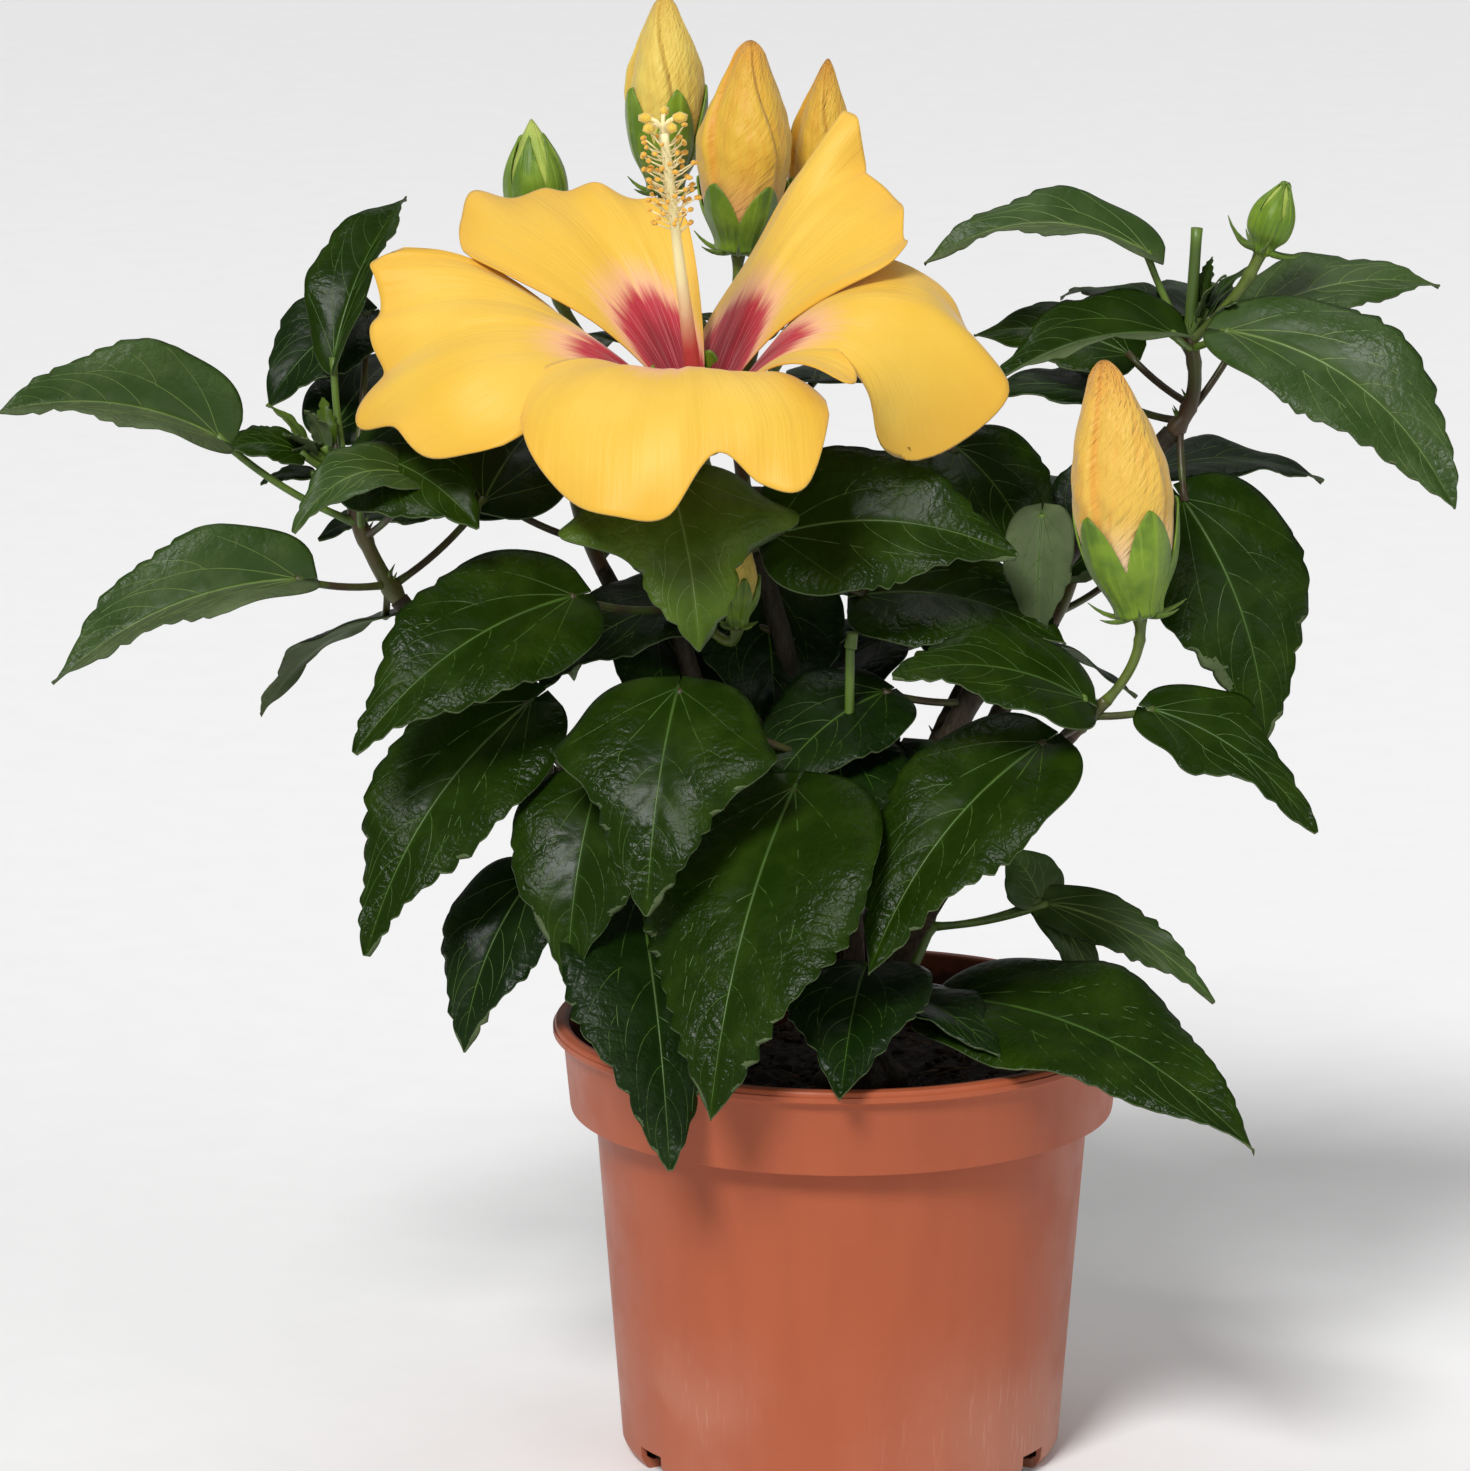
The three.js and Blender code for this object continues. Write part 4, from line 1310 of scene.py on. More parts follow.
SHOOTS = {
    "left": Shoot("left", (-110.5, 5, 225), (
        Leaf(0.6, (-159, 34, 38), (-170, 9, 50), -38, 0.33, 48, tone=DULL, near=UNDERSIDE),
        Leaf(0.12, (-144, 10, 23), (-165, -20, 60), -34, 0.25, 46, tone=DULL, near=UNDERSIDE),
        Leaf(0.15, (87, -48, 13), (146, -37, 46), 0, 0.24, tone=SHADE),
        Leaf(0.98, (120, 75, 24), (56, 50, 44), -10, 0.27, 40, reach=1.7),
        Leaf(0.8, (80, 60, 44), (-154, -38, 32), -30, 0.38, tone=SHADE),
        Leaf(0.7, (116, 49, 20), (53, 26, 34), 20, tone=SHADE),
        Leaf(0.5, (-55, 36, 29), (-145, -14, 34), -30, 0.24, 26, 0.2, DULL),
        Leaf(0.55, (-93, 57, 24), (-37, -20, 37), 40, 0.4),
        Leaf(0.1, (19, 39, 28), (56, 26, 40), 25, 0.4, tone=SHADE),
        Leaf(0.92, (-154, 32, 13), (-153, 7, 19), -40, 0.26, teeth=2.2),
    )),
    "left_low": Shoot("left_low", (-74, -7, 183), (
        Leaf(0.5, (-87, 33, 10), (-149, -51, 68), -30, 0.26),
        Leaf(0.2, (-120, -77, 29), (-138, -60, 43), -20, tone=SHADE),
        Leaf(0.9, (95, 10, 22), (70, -24, 44), 0, tone=SHADE),
    )),
    "front": Shoot("front", (1.5, -14, 190), (
        Leaf(0.13, (-162, 19, 62), (-108, -62, 46), 0, 0.36),
        Leaf(0.47, (-147, 28, 51), (-104, -58, 53), 0, 0.39, 8, lobes=0.22),
        Leaf(0.19, (-117, 32, 32), (-113, -53, 80), 4, 0.33, fold=8),
        Leaf(0.06, (-158, -1, 51), (-80, -52, 67), -8, 0.3, 6, tone=SHADE),
    )),
    "bloom": Shoot("bloom", (-32, 6, 212), (
        Leaf(0.12, (-131, 14, 33), (-153, -29, 62), -34, 0.3),
        Leaf(0.6, (-95, 42, 40), (-72, -56, 43), 0, 0.48, 6, tone=FRESH, lobes=0.34),
    )),
    "crown": Shoot("crown", (-20, 24, 248), (
        Leaf(0.1, (-82, 9, 28), (-9, -3, 55), 52, 0.33),
        Leaf(0.3, (2, 12, 48), (-43, -45, 36), 30, 0.36),
        Leaf(0.12, (-27, -26, 30), (-15, -10, 48), 34, 0.34),
        Leaf(0.5, (60, 20, 34), (40, -20, 46), 0, tone=SHADE),
        Leaf(0.7, (130, 24, 30), (120, -16, 44), 0, tone=SHADE),
    )),
    "right_high": Shoot("right", (76.4, 4, 254.7), (
        Leaf(0.9, (-60, 27, 13), (-27, -32, 66), 36, 0.24, 22, 0.14, DULL, reach=1.35),
        Leaf(0.12, (29, 53, 27), (8, 9, 45), 22, 0.3, tone=DULL),
        Leaf(0.95, (166, 66, 21), (-175, -1, 51), -22, 0.2, 34, 0.16, DULL, near=UNDERSIDE),
        Leaf(0.35, (138, 28, 19), (166, 5, 36), -34, 0.3),
        Leaf(0.9, (-109, 24, 12), (-159, -11, 46), -22, 0.25, 44, near=UNDERSIDE),
        Leaf(0.8, (103, 21, 18), (129, 0, 38), 0, 0.22, tone=SHADE),
        Leaf(0.95, (80, 17, 15), (90, -3, 38), 0, 0.22, tone=SHADE),
        Leaf(0.15, (142, 9, 20), (171, -1, 30), -14, tone=SHADE),
        Leaf(0.12, (-92, -60, 17), (-43, -64, 58), 30, 0.32, 8),
    )),
    "right_mid": Shoot("right_mid", (46, 22, 206), (
        Leaf(0.5, (-20, -20, 8), (41, 64, 32), 30, tone=SHADE),
    )),
    "foot": Shoot("foot", (20, 0, 121), (
        Leaf(0.12, (-108, 28, 29), (-98, -23, 48), 0, 0.34, tone=SHADE),
        Leaf(0.1, (-113, 14, 16), (-52, -6, 44), 0, tone=SHADE),
        Leaf(0.1, (-61, 12, 21), (-38, -14, 86), 20, 0.24, teeth=0.3),
        Leaf(1, (14, 9, 26), (-15, -27, 45), 56, 0.13, tone=DULL),
        Leaf(1, (14, 9, 26), (-20, -60, 27), 50, 0.16, tone=DULL),
        Leaf(1, (14, 9, 26), (150, 50, 15), -30, 0.5, tone=DULL),
    )),
    "right_low": Shoot("right_low", (57.8, -28.6, 179.5), (
        Leaf(0.6, (-103, 30, 8), (-157, 12, 48), -38, 0.27),
        Leaf(0.3, (-130, -8, 13), (-146, -44, 66), -22, 0.28),
        Leaf(0.5, (-23, 12, 14), (-23, -32, 46), 30, 0.23, 16, lobes=0.34),
    )),
    "back_left": Shoot("back_left", (-62, 44, 226), grown=Grown(7, 60, (34, 22), (-16, 46), (2, 4))),
    "back": Shoot("back", (2, 56, 204), (
        Leaf(0.4, (-60, 60, 26), (-168, -34, 42), -10, 0.4, tone=SHADE),
        Leaf(0.1, (-60, 30, 14), (-152, -42, 40), -10, 0.4, tone=SHADE),
    ), Grown(6, 10, (24, 22), (-20, 48), (4,))),
    "back_right": Shoot("back_right", (54, 44, 210), grown=Grown(6, 40, (24, 20), (-16, 44), (1, 4))),
    "low": Shoot("low", (-42, 34, 142), grown=Grown(4, 100, (14, 22), (-26, 46), (1, 2))),
}
# The radius of a shoot's stem at its foot and tip, and the share of it that slimmer ones have
STEM = (1.9, 1.4)
SLIM = {"front": 0.72, "foot": 0.8}

# Leaves on the boughs, inside the plant, most of them in the painted shade tone
INNER = {
    "crown": (
        Leaf(0.55, (-70, 10, 18), (-86, -38, 44), 0, 0.36, tone=SHADE),
        Leaf(0.8, (150, 20, 20), (-160, -24, 44), -20, 0.32, tone=SHADE),
        Leaf(0.75, (95, -10, 14), (-20, -50, 46), 0, 0.42, tone=SHADE),
        Leaf(0.9, (100, 10, 12), (-80, -60, 40), 0, 0.44, tone=SHADE),
    ),
    "back_left": (
        Leaf(0.9, (-60, 0, 14), (-60, -48, 42), 0, 0.4, tone=SHADE),
    ),
    "bloom": (
        Leaf(0.72, (-30, 8, 20), (-50, -34, 44), 10, 0.36, tone=SHADE),
        Leaf(0.5, (-160, 10, 22), (-170, -30, 42), -10, 0.3, tone=SHADE),
    ),
    "right": (
        Leaf(0.5, (-160, 12, 20), (-140, -30, 44), -20, 0.34, tone=SHADE),
        Leaf(0.66, (60, 20, 24), (50, -20, 44), 0, 0.3, tone=SHADE),
        # Its upper side too takes the underside's paler tone, partly a painted backlight
        Leaf(0.75, (-120, 59, 16), (-100, -78, 30), 10, 0.27, tone=UNDERSIDE),
    ),
    "foot": (
        Leaf(1.0, (-50, 6, 10), (-10, -14, 10), 50, 0.42, tone=UNDERSIDE),
    ),
    "back": (
        Leaf(0.7, (-100, 40, 26), (-110, -24, 48), 0, 0.36, tone=SHADE),
        Leaf(0.9, (150, 30, 22), (165, -24, 44), 0, 0.32, tone=SHADE),
    ),
    "right_mid": (
        Leaf(0.6, (-120, 10, 18), (-104, -40, 40), 0, 0.36, tone=SHADE),
    ),
}
# Young leaves round the shoots' tips
YOUNG = {
    "left": (
        Leaf(1.0, (-172, 20, 12), (-178, 14, 15), -30, 0.24, teeth=2.0),
        Leaf(1.0, (-172, 34, 11), (160, 40, 12), 0, 0.2, teeth=2.2, tone=FRESH),
        Leaf(1.0, (-165, 24, 9), (-120, 30, 12), 0, 0.22, teeth=2.2),
        Leaf(1.0, (-160, 50, 7), (100, 64, 11), 0, 0.2, teeth=2.2, tone=FRESH),
        Leaf(0.97, (-130, 10, 5), (-100, -10, 12), 0, 0.24, teeth=2.0),
        Leaf(0.98, (-150, 46, 8), (-150, 62, 10), 30, 0.24, teeth=2.2),
        Leaf(0.96, (-166, 2, 8), (170, -12, 12), -20, 0.24, teeth=2.0),
        Leaf(0.97, (-178, 44, 6), (-140, 10, 10), 40, 0.24, teeth=2.2, tone=FRESH),
    ),
    "right_high": (
        Leaf(1.0, (10, 52, 7), (14, 42, 15), 0, 0.22, teeth=2.0),
        Leaf(1.0, (-40, 60, 5), (-20, 58, 12), 0, 0.2, teeth=2.2, tone=FRESH),
        Leaf(0.98, (60, 40, 6), (30, 30, 13), 0, 0.24, teeth=2.0),
        Leaf(1.0, (170, 50, 4), (160, 40, 9), 0, 0.24, teeth=2.2, tone=FRESH),
        Leaf(1.0, (-20, 36, 8), (-60, 30, 9), 20, 0.24, teeth=2.2),
        Leaf(0.99, (30, 64, 8), (60, 66, 11), -20, 0.22, teeth=2.2),
    ),
    "crown": (
        Leaf(1.0, (-60, 40, 5), (-70, 20, 13), 0, 0.24, teeth=2.0, tone=FRESH),
        Leaf(0.98, (140, 40, 5), (150, 20, 14), 0, 0.24, teeth=2.0, tone=FRESH),
    ),
}
# Cut stubs: foot, tip and radius
STUBS = {
    "upright": ((76.6, 4, 253), (78, 4, 279), 1.25),
    "front_cut": ((1.5, -14, 188), (2, -14, 191.5), 1.25),
    "fork": ((-6, 1, 140), (-11, -6, 146), 1.3),
}


def stub_girth(radius: float, t: float) -> float:
    """The radius at a share t of a cut stub, which swells a little at its cut."""
    return radius * (1.15 - 0.2 * t + 0.12 * hump(t, 1, 0.1))


@dataclass(frozen=True)
class Vein:
    """A side vein: its start and end as (share of the half width, share of the length), and its thickness."""

    start: tuple[float, float]
    end: tuple[float, float]
    size: float

    def place(self, share: float, shift: float) -> tuple[float, float]:
        """Its place at a share of its own length, moved up the blade by shift where it leaves the midrib."""
        (near, low), (far, high) = self.start, self.end
        return near + (far - near) * share**0.85, low + (high - low) * share**1.15 + shift


# Two pairs from the blade's foot, two branches of the outer pair, and four pairs from the midrib
VEINS = (
    Vein((0, 0.01), (0.6, 0.62), 1.0),
    Vein((0, 0.01), (0.93, 0.33), 0.75),
    Vein((0.33, 0.3), (0.93, 0.5), 0.6),
    Vein((0.5, 0.47), (0.93, 0.66), 0.5),
    Vein((0, 0.34), (0.8, 0.74), 0.75),
    Vein((0, 0.5), (0.88, 0.82), 0.65),
    Vein((0, 0.64), (0.9, 0.88), 0.5),
    Vein((0, 0.77), (0.9, 0.94), 0.4),
)


class Blade:
    """The surface of one leaf blade, folded along its midrib, puffed up between its veins and toothed."""

    narrowing = (0.4, 0.96)
    thickness = 0.36
    columns = 20
    stagger = 0.028
    puffed = 2.4
    rib_radius = 0.48
    vein_radius = 0.23
    tooth_step = 5.0
    tooth_size = 0.028
    least_tooth = 0.6

    def __init__(self, curve: Bend, leaf: Leaf, seed: float) -> None:
        """Lays the blade along its midrib.

        Args:
            curve: the midrib.
            leaf: the leaf's sizes.
            seed: sets its waves and teeth apart from the next leaf's.
        """
        self.curve = curve
        self.leaf = leaf
        self.seed = seed
        self.length = leaf.blade[2]
        turn = math.radians(leaf.blade[0])
        self.level = Vector((math.sin(turn), -math.cos(turn), 0))
        self.rows = max(int(self.length * 1.6), 30)
        self.teeth = max(round(self.length / self.tooth_step), 5)
        self.frames: dict[float, tuple[Vector, Vector, Vector]] = {}
        marks = [i / 40 for i in range(41)]
        rows = [(vein, side) for vein in VEINS for side in (-1, 1)]
        spots = [self.chart(*self.along(vein, side, mark)) for vein, side in rows for mark in marks]
        self.net = KDTree(len(spots))
        for i, (x, y) in enumerate(spots):
            self.net.insert((x, y, 0), i)
        self.net.balance()

    def along(self, vein: Vein, side: int, share: float) -> tuple[float, float]:
        """The (margin, share of the blade's length) at a share of a vein, to one side of the midrib."""
        away, t = vein.place(share, self.stagger if side > 0 and vein.start[1] > 0.1 else 0)
        return side * away, min(t, 0.985)

    def chart(self, margin: float, t: float) -> tuple[float, float]:
        """A place of the blade laid flat, in millimetres."""
        return margin * self.half(t), t * self.length

    def frame(self, t: float) -> tuple[Vector, Vector, Vector]:
        """The midrib's point, and the blade's sideways and upward directions, at a share of its length."""
        if t not in self.frames:
            along = self.curve.along(t)
            side = Quaternion(along, math.radians(self.leaf.roll)) @ self.level
            self.frames[t] = (self.curve.point(t), side, side.cross(along))
        return self.frames[t]

    def half(self, t: float) -> float:
        """Half the blade's width at a share of its length, before its teeth.

        Args:
            t: the share.

        Returns:
            The half width.
        """
        low, high = self.narrowing
        widest = low / (low + high)
        t = min(max(t, 0.0), 1.0) ** self.leaf.reach
        share = (t**low * (1 - t) ** high) / (widest**low * (1 - widest) ** high)
        lobe = self.leaf.lobes * (hump(t, 0.34, 0.1) - 0.9 * hump(t, 0.58, 0.13))
        return self.length * self.leaf.width * share * (1 + lobe) * (1 - 0.2 * smooth(0.5, 0.85, t)) + 0.35

    def puff(self, margin: float, t: float) -> float:
        """How far the blade swells between its veins, from 0 at a vein to 1.

        Args:
            margin: the share of the half width.
            t: the share of the length.

        Returns:
            The swell.
        """
        x, y = self.chart(margin, t)
        away = min(self.net.find((x, y, 0))[2], abs(x))
        swell = smooth(0, self.puffed, away) * (0.75 + 0.25 * math.sin(0.9 * x + 0.7 * y + self.seed))
        return swell * (1 - abs(margin) ** 5) * smooth(0, 0.1, t)

    def bite(self, t: float) -> float:
        """How far a tooth stands out at a share of the blade's length.

        Args:
            t: the share.

        Returns:
            The tooth's size there.
        """
        place = (t * self.teeth + 0.35 * math.sin(self.seed + 7 * t)) % 1
        tooth = (min(place / 0.72, (1 - place) / 0.28)) ** 0.7 - 0.6
        size = max(self.length * self.tooth_size, self.least_tooth) * self.leaf.teeth
        size *= 0.8 + 0.45 * math.sin(23 * t + self.seed)
        return size * tooth * smooth(0.2, 0.52, t) * smooth(1.0, 0.93, t)

    def place(self, margin: float, t: float) -> Vector:
        """The point of the blade.

        Args:
            margin: the share of its half width, from -1 to 1.
            t: the share of its length.

        Returns:
            The point.
        """
        point, side, up = self.frame(t)
        leaf = self.leaf
        half = self.half(t)
        out = margin * (half + abs(margin) ** 6 * self.bite(t) * min(half / (0.1 * self.length), 1))
        fold = math.radians(leaf.fold)
        soft = math.sqrt(margin * margin + 0.02) - math.sqrt(0.02)
        lift = half * math.sin(fold) * soft - half * leaf.curl * abs(margin) ** 3
        ripple = math.sin(15 * t + self.seed + (2.0 if margin < 0 else 0)) * margin * margin
        lift += self.length * leaf.wave * ripple * smooth(0, 0.3, t)
        lift += (0.12 + self.length * 0.0045) * self.puff(margin, t)
        back = self.length * 0.055 * margin * margin * hump(t, 0.0, 0.16)
        return point + side * (out * math.cos(fold * 0.8)) + up * lift - self.curve.along(0) * back

    def raised(self, margin: float, t: float, sunk: float) -> Vector:
        """A point of the blade, sunk that far under its upper side."""
        return self.place(margin, t) - self.frame(t)[2] * sunk

    def add_to(self, piece: Piece, light_veins: bool) -> None:
        """Adds the blade and its veins to a piece.

        Args:
            piece: the piece.
            light_veins: whether its veins are the pale ones.
        """
        sheet = woven(self.columns, self.rows, self.place, self.chart)
        grain = sheet.loops.layers.uv[GRAIN]
        far = 1 if self.level.y > 0 else -1
        for face in sheet.faces:
            # The near half's upper side takes the near tone; the underside's paler tone there is partly a
            # painted sheen
            near = sum(loop[grain].uv.x for loop in face.loops) * far < 0
            face.material_index = (self.leaf.near if near and self.leaf.near else self.leaf.tone).value
        piece.take(shell(sheet, self.thickness, Tone.UNDERSIDE.value))
        finish = PALE_VEIN if light_veins else VEIN
        scale = (self.length / 60) ** 0.5
        rib = [self.raised(0, i / 14, 0.1) for i in range(15)]
        piece.take(tube(rib, lambda t: (self.rib_radius - 0.36 * t) * scale, 6), finish)
        for vein in VEINS:
            for side in (-1, 1):
                path = [self.raised(*self.along(vein, side, i / 10), 0.03) for i in range(11)]
                thick = self.vein_radius * scale * vein.size
                piece.take(tube(path, lambda t, size=thick: size * (1 - 0.6 * t), 4), finish)


class Foliage:
    """The leafy shoots: their stems and stalks, and one piece of leaves for each mass."""

    stalk_radius = 0.85

    def __init__(self, wood: Wood) -> None:
        """Lays out the shoots' stems.

        Args:
            wood: the trunk and boughs that they grow on from.
        """
        self.stems: dict[str, Bend] = {}
        self.boughs = wood.boughs
        for name, shoot in SHOOTS.items():
            bough = wood.boughs[shoot.bough]
            along = bough.along(1)
            self.stems[name] = Bend.leaving(bough.point(1) + along * GAP, along, Vector(shoot.tip))
        self.twigs = Piece("twigs", "bark", [
            GreenStem("young_twig", tint(74, 78, 34), tint(70, 48, 30)).make(),
            GreenStem("leaf_stalk", tint(72, 88, 34), tint(62, 50, 30), 0.6).make(),
            GreenStem("cut_stub", tint(92, 118, 42), tint(70, 92, 34), 0.4).make(),
        ])
        self.skins = [
            LeafSkin("leaf_deep", tint(24, 43, 2), tint(40, 61, 6), 0.3, 0.09).make(),
            LeafSkin("leaf_fresh", tint(62, 84, 20), tint(82, 104, 32), 0.36).make(),
            # Dull, and partly a painted sheen: a paler, greyer green for leaves that face upwards
            LeafSkin("leaf_dull_and_sheen", tint(45, 68, 22), tint(64, 86, 36), 0.42, 0.25).make(),
            # Painted shade: the leaf green darkened for leaves that lie in the plant's shade
            LeafSkin("leaf_shade", tint(15, 33, 4), tint(26, 47, 8), 0.34).make(),
            LeafSkin("leaf_underside", tint(72, 86, 54), tint(96, 110, 74), 0.6).make(),
            GreenStem("leaf_vein", tint(62, 92, 24), tint(50, 78, 18)).make(),
            GreenStem("leaf_vein_pale", tint(104, 126, 62), tint(90, 112, 50)).make(),
        ]

    def stalk(self, root: Vector, leaf: Leaf) -> Bend:
        """Adds a leaf's stalk to the twigs.

        Args:
            root: where it leaves the stem.
            leaf: the leaf's sizes.

        Returns:
            The blade's midrib, which grows on from it.
        """
        stalk = Bend.bowed(root, leaf.stalk, -0.05)
        midrib = Bend.bowed(stalk.tip, leaf.blade, leaf.arch)
        path = Bend(root, stalk.bend, midrib.point(0.03)).points(max(int(leaf.stalk[2] / 2.2), 7))
        young = leaf.tone is Tone.FRESH or leaf.at > 0.5 and leaf.tone is not Tone.SHADE

        def girth(t: float) -> float:
            """The stalk's radius at a share t of its length."""
            return self.stalk_radius * (1 + 0.45 * hump(t, 0, 0.09) + 0.25 * hump(t, 1, 0.08))

        self.twigs.take(tube(path, girth, 8), 2 if young else 1)
        for side in (-60, 60):
            tip = root + heading(leaf.stalk[0] + side, 60) * 4.2
            self.twigs.take(tube([root, (root + tip) / 2, tip], lambda t: 0.7 * (1 - t) + 0.08, 4), 2)
        return midrib

    def build(self) -> list[bpy.types.Object]:
        """Grows every shoot.

        Returns:
            The pieces.
        """
        made = []
        draw = seeded(SEED)
        number = 0
        for name, shoot in SHOOTS.items():
            stem = self.stems[name]
            nodes = [leaf.at for leaf in shoot.leaves]

            def girth(t: float, marks: list[float] = nodes, size: float = SLIM.get(name, 1.0)) -> float:
                """The stem's radius, with a knot at each of the marks."""
                knots = sum(0.35 * hump(t, mark, 0.035) for mark in marks)
                return (STEM[0] + (STEM[1] - STEM[0]) * t) * size + min(knots, 0.6)

            path = [stem.foot - stem.along(0) * 1.5] + stem.points(max(int(stem.length / 1.6), 10))
            self.twigs.take(tube(path, girth, 12), 2 if name in SLIM else 0)
            leaves = list(shoot.leaves) + (shoot.grown.leaves(draw) if shoot.grown else [])
            piece = Piece(f"leaves_{name}", "leaf", self.skins)
            for leaf in leaves:
                number += 1
                midrib = self.stalk(stem.point(leaf.at), leaf)
                Blade(midrib, leaf, number * 1.7).add_to(piece, leaf.tone in (Tone.DULL, Tone.FRESH))
            made.append(piece.finish(f"foliage_{name}"))
        for title, limbs, table in (("inner", self.boughs, INNER), ("young", self.stems, YOUNG)):
            piece = Piece(f"leaves_{title}", "leaf", self.skins)
            for name, leaves in table.items():
                for leaf in leaves:
                    number += 1
                    midrib = self.stalk(limbs[name].point(leaf.at), leaf)
                    Blade(midrib, leaf, number * 1.7).add_to(piece, False)
            made.append(piece.finish())
        for foot, tip, radius in STUBS.values():
            path = [Vector(foot).lerp(Vector(tip), i / 8) for i in range(9)]
            self.twigs.take(tube(path, partial(stub_girth, radius), 10), 2)
        made.append(self.twigs.finish())
        return made


@dataclass(frozen=True)
class Petal:
    """One petal: its azimuth round the bloom, its path of (distance from the axis, height), and its shape.

    Half is its half width to either side. Skew and lean slant its end and its face, cup folds a side's face
    back where it is negative, and ruffle and phase make its waves. Rim and curl are marks from its one margin
    to the other: its length as a share, and how far its end stands up. A lower grip keeps a side wide at the
    throat.
    """

    azimuth: float
    path: tuple[tuple[float, float], ...]
    half: tuple[float, float]
    skew: float
    lean: float
    cup: tuple[float, float]
    ruffle: float
    phase: float
    rim: tuple[float, ...]
    curl: tuple[float, ...]
    grip: tuple[float, float] = (1.35, 1.35)

    thickness = 0.45
    pinch = 6.0
    shoulder = 0.82
    start = 0.04

    def midrib(self, t: float) -> tuple[Vector, Vector]:
        """Its middle line, in the plane of (distance, height).

        Args:
            t: the share of its length.

        Returns:
            The point and the direction there.
        """
        a, b, c, d = (Vector(point) for point in self.path)
        s = 1 - t
        if t > 1:
            point = d + (d - c) * (3 * (t - 1))
        else:
            point = a * s**3 + b * (3 * s * s * t) + c * (3 * s * t * t) + d * t**3
        along = (b - a) * (s * s) + (c - b) * (2 * s * t) + (d - c) * (t * t)
        return point, along.normalized()

    def place(self, margin: float, along: float) -> Vector:
        """The petal's point, about the bloom's axis.

        Args:
            margin: the share of its half width, from -1 to 1.
            along: the share of its length.

        Returns:
            The point.
        """
        rounded = 1 - 0.16 * (1 - math.sqrt(max(1 - abs(margin) ** 2.6, 0)))
        end = rounded * spread(self.rim, (margin + 1) / 2)
        t = (self.start + (1 - self.start) * along) * end
        (out, up), _ = self.midrib(t * (1 + self.skew * margin * t))
        _, (level, climb) = self.midrib(min(t, 1.0))
        wide = min(t, self.shoulder)
        width = self.half[margin > 0] * wide ** self.grip[margin > 0] * math.sqrt(1 - wide**8) / 0.685 + 0.8
        turn = math.radians(self.azimuth) + margin * width / max(out, self.pinch)
        wave = self.ruffle * t**3 * abs(margin) * math.sin(5 * margin + 9 * t + self.phase)
        wave += self.lean * margin * t
        edge = max(abs(margin) ** 7, along**9)
        wave += 1.1 * edge * math.sin(13 * margin + 6 * t + self.phase) * smooth(0.3, 0.7, t)
        cup = self.cup[margin > 0] * margin * margin * math.sin(math.pi * min(t, 1))
        wave += spread(self.curl, (margin + 1) / 2) * along**3 + cup
        rib = math.sin(27 * margin + 2.2 * math.sin(3 * margin + self.phase) + 0.6 * math.sin(9 * t))
        rib *= 0.06 * smooth(0.1, 0.5, t)
        fold = math.sin(8.5 * margin + 2 * self.phase + 1.6 * math.sin(2.5 * t))
        rib += 0.4 * fold * smooth(0.15, 0.6, t) * (1.3 - t)
        offset = wave + rib - 0.5 * hump(margin, 0, 0.08) * (1 - t)
        distance = out - climb * offset
        return Vector((distance * math.cos(turn), distance * math.sin(turn), up + level * offset))


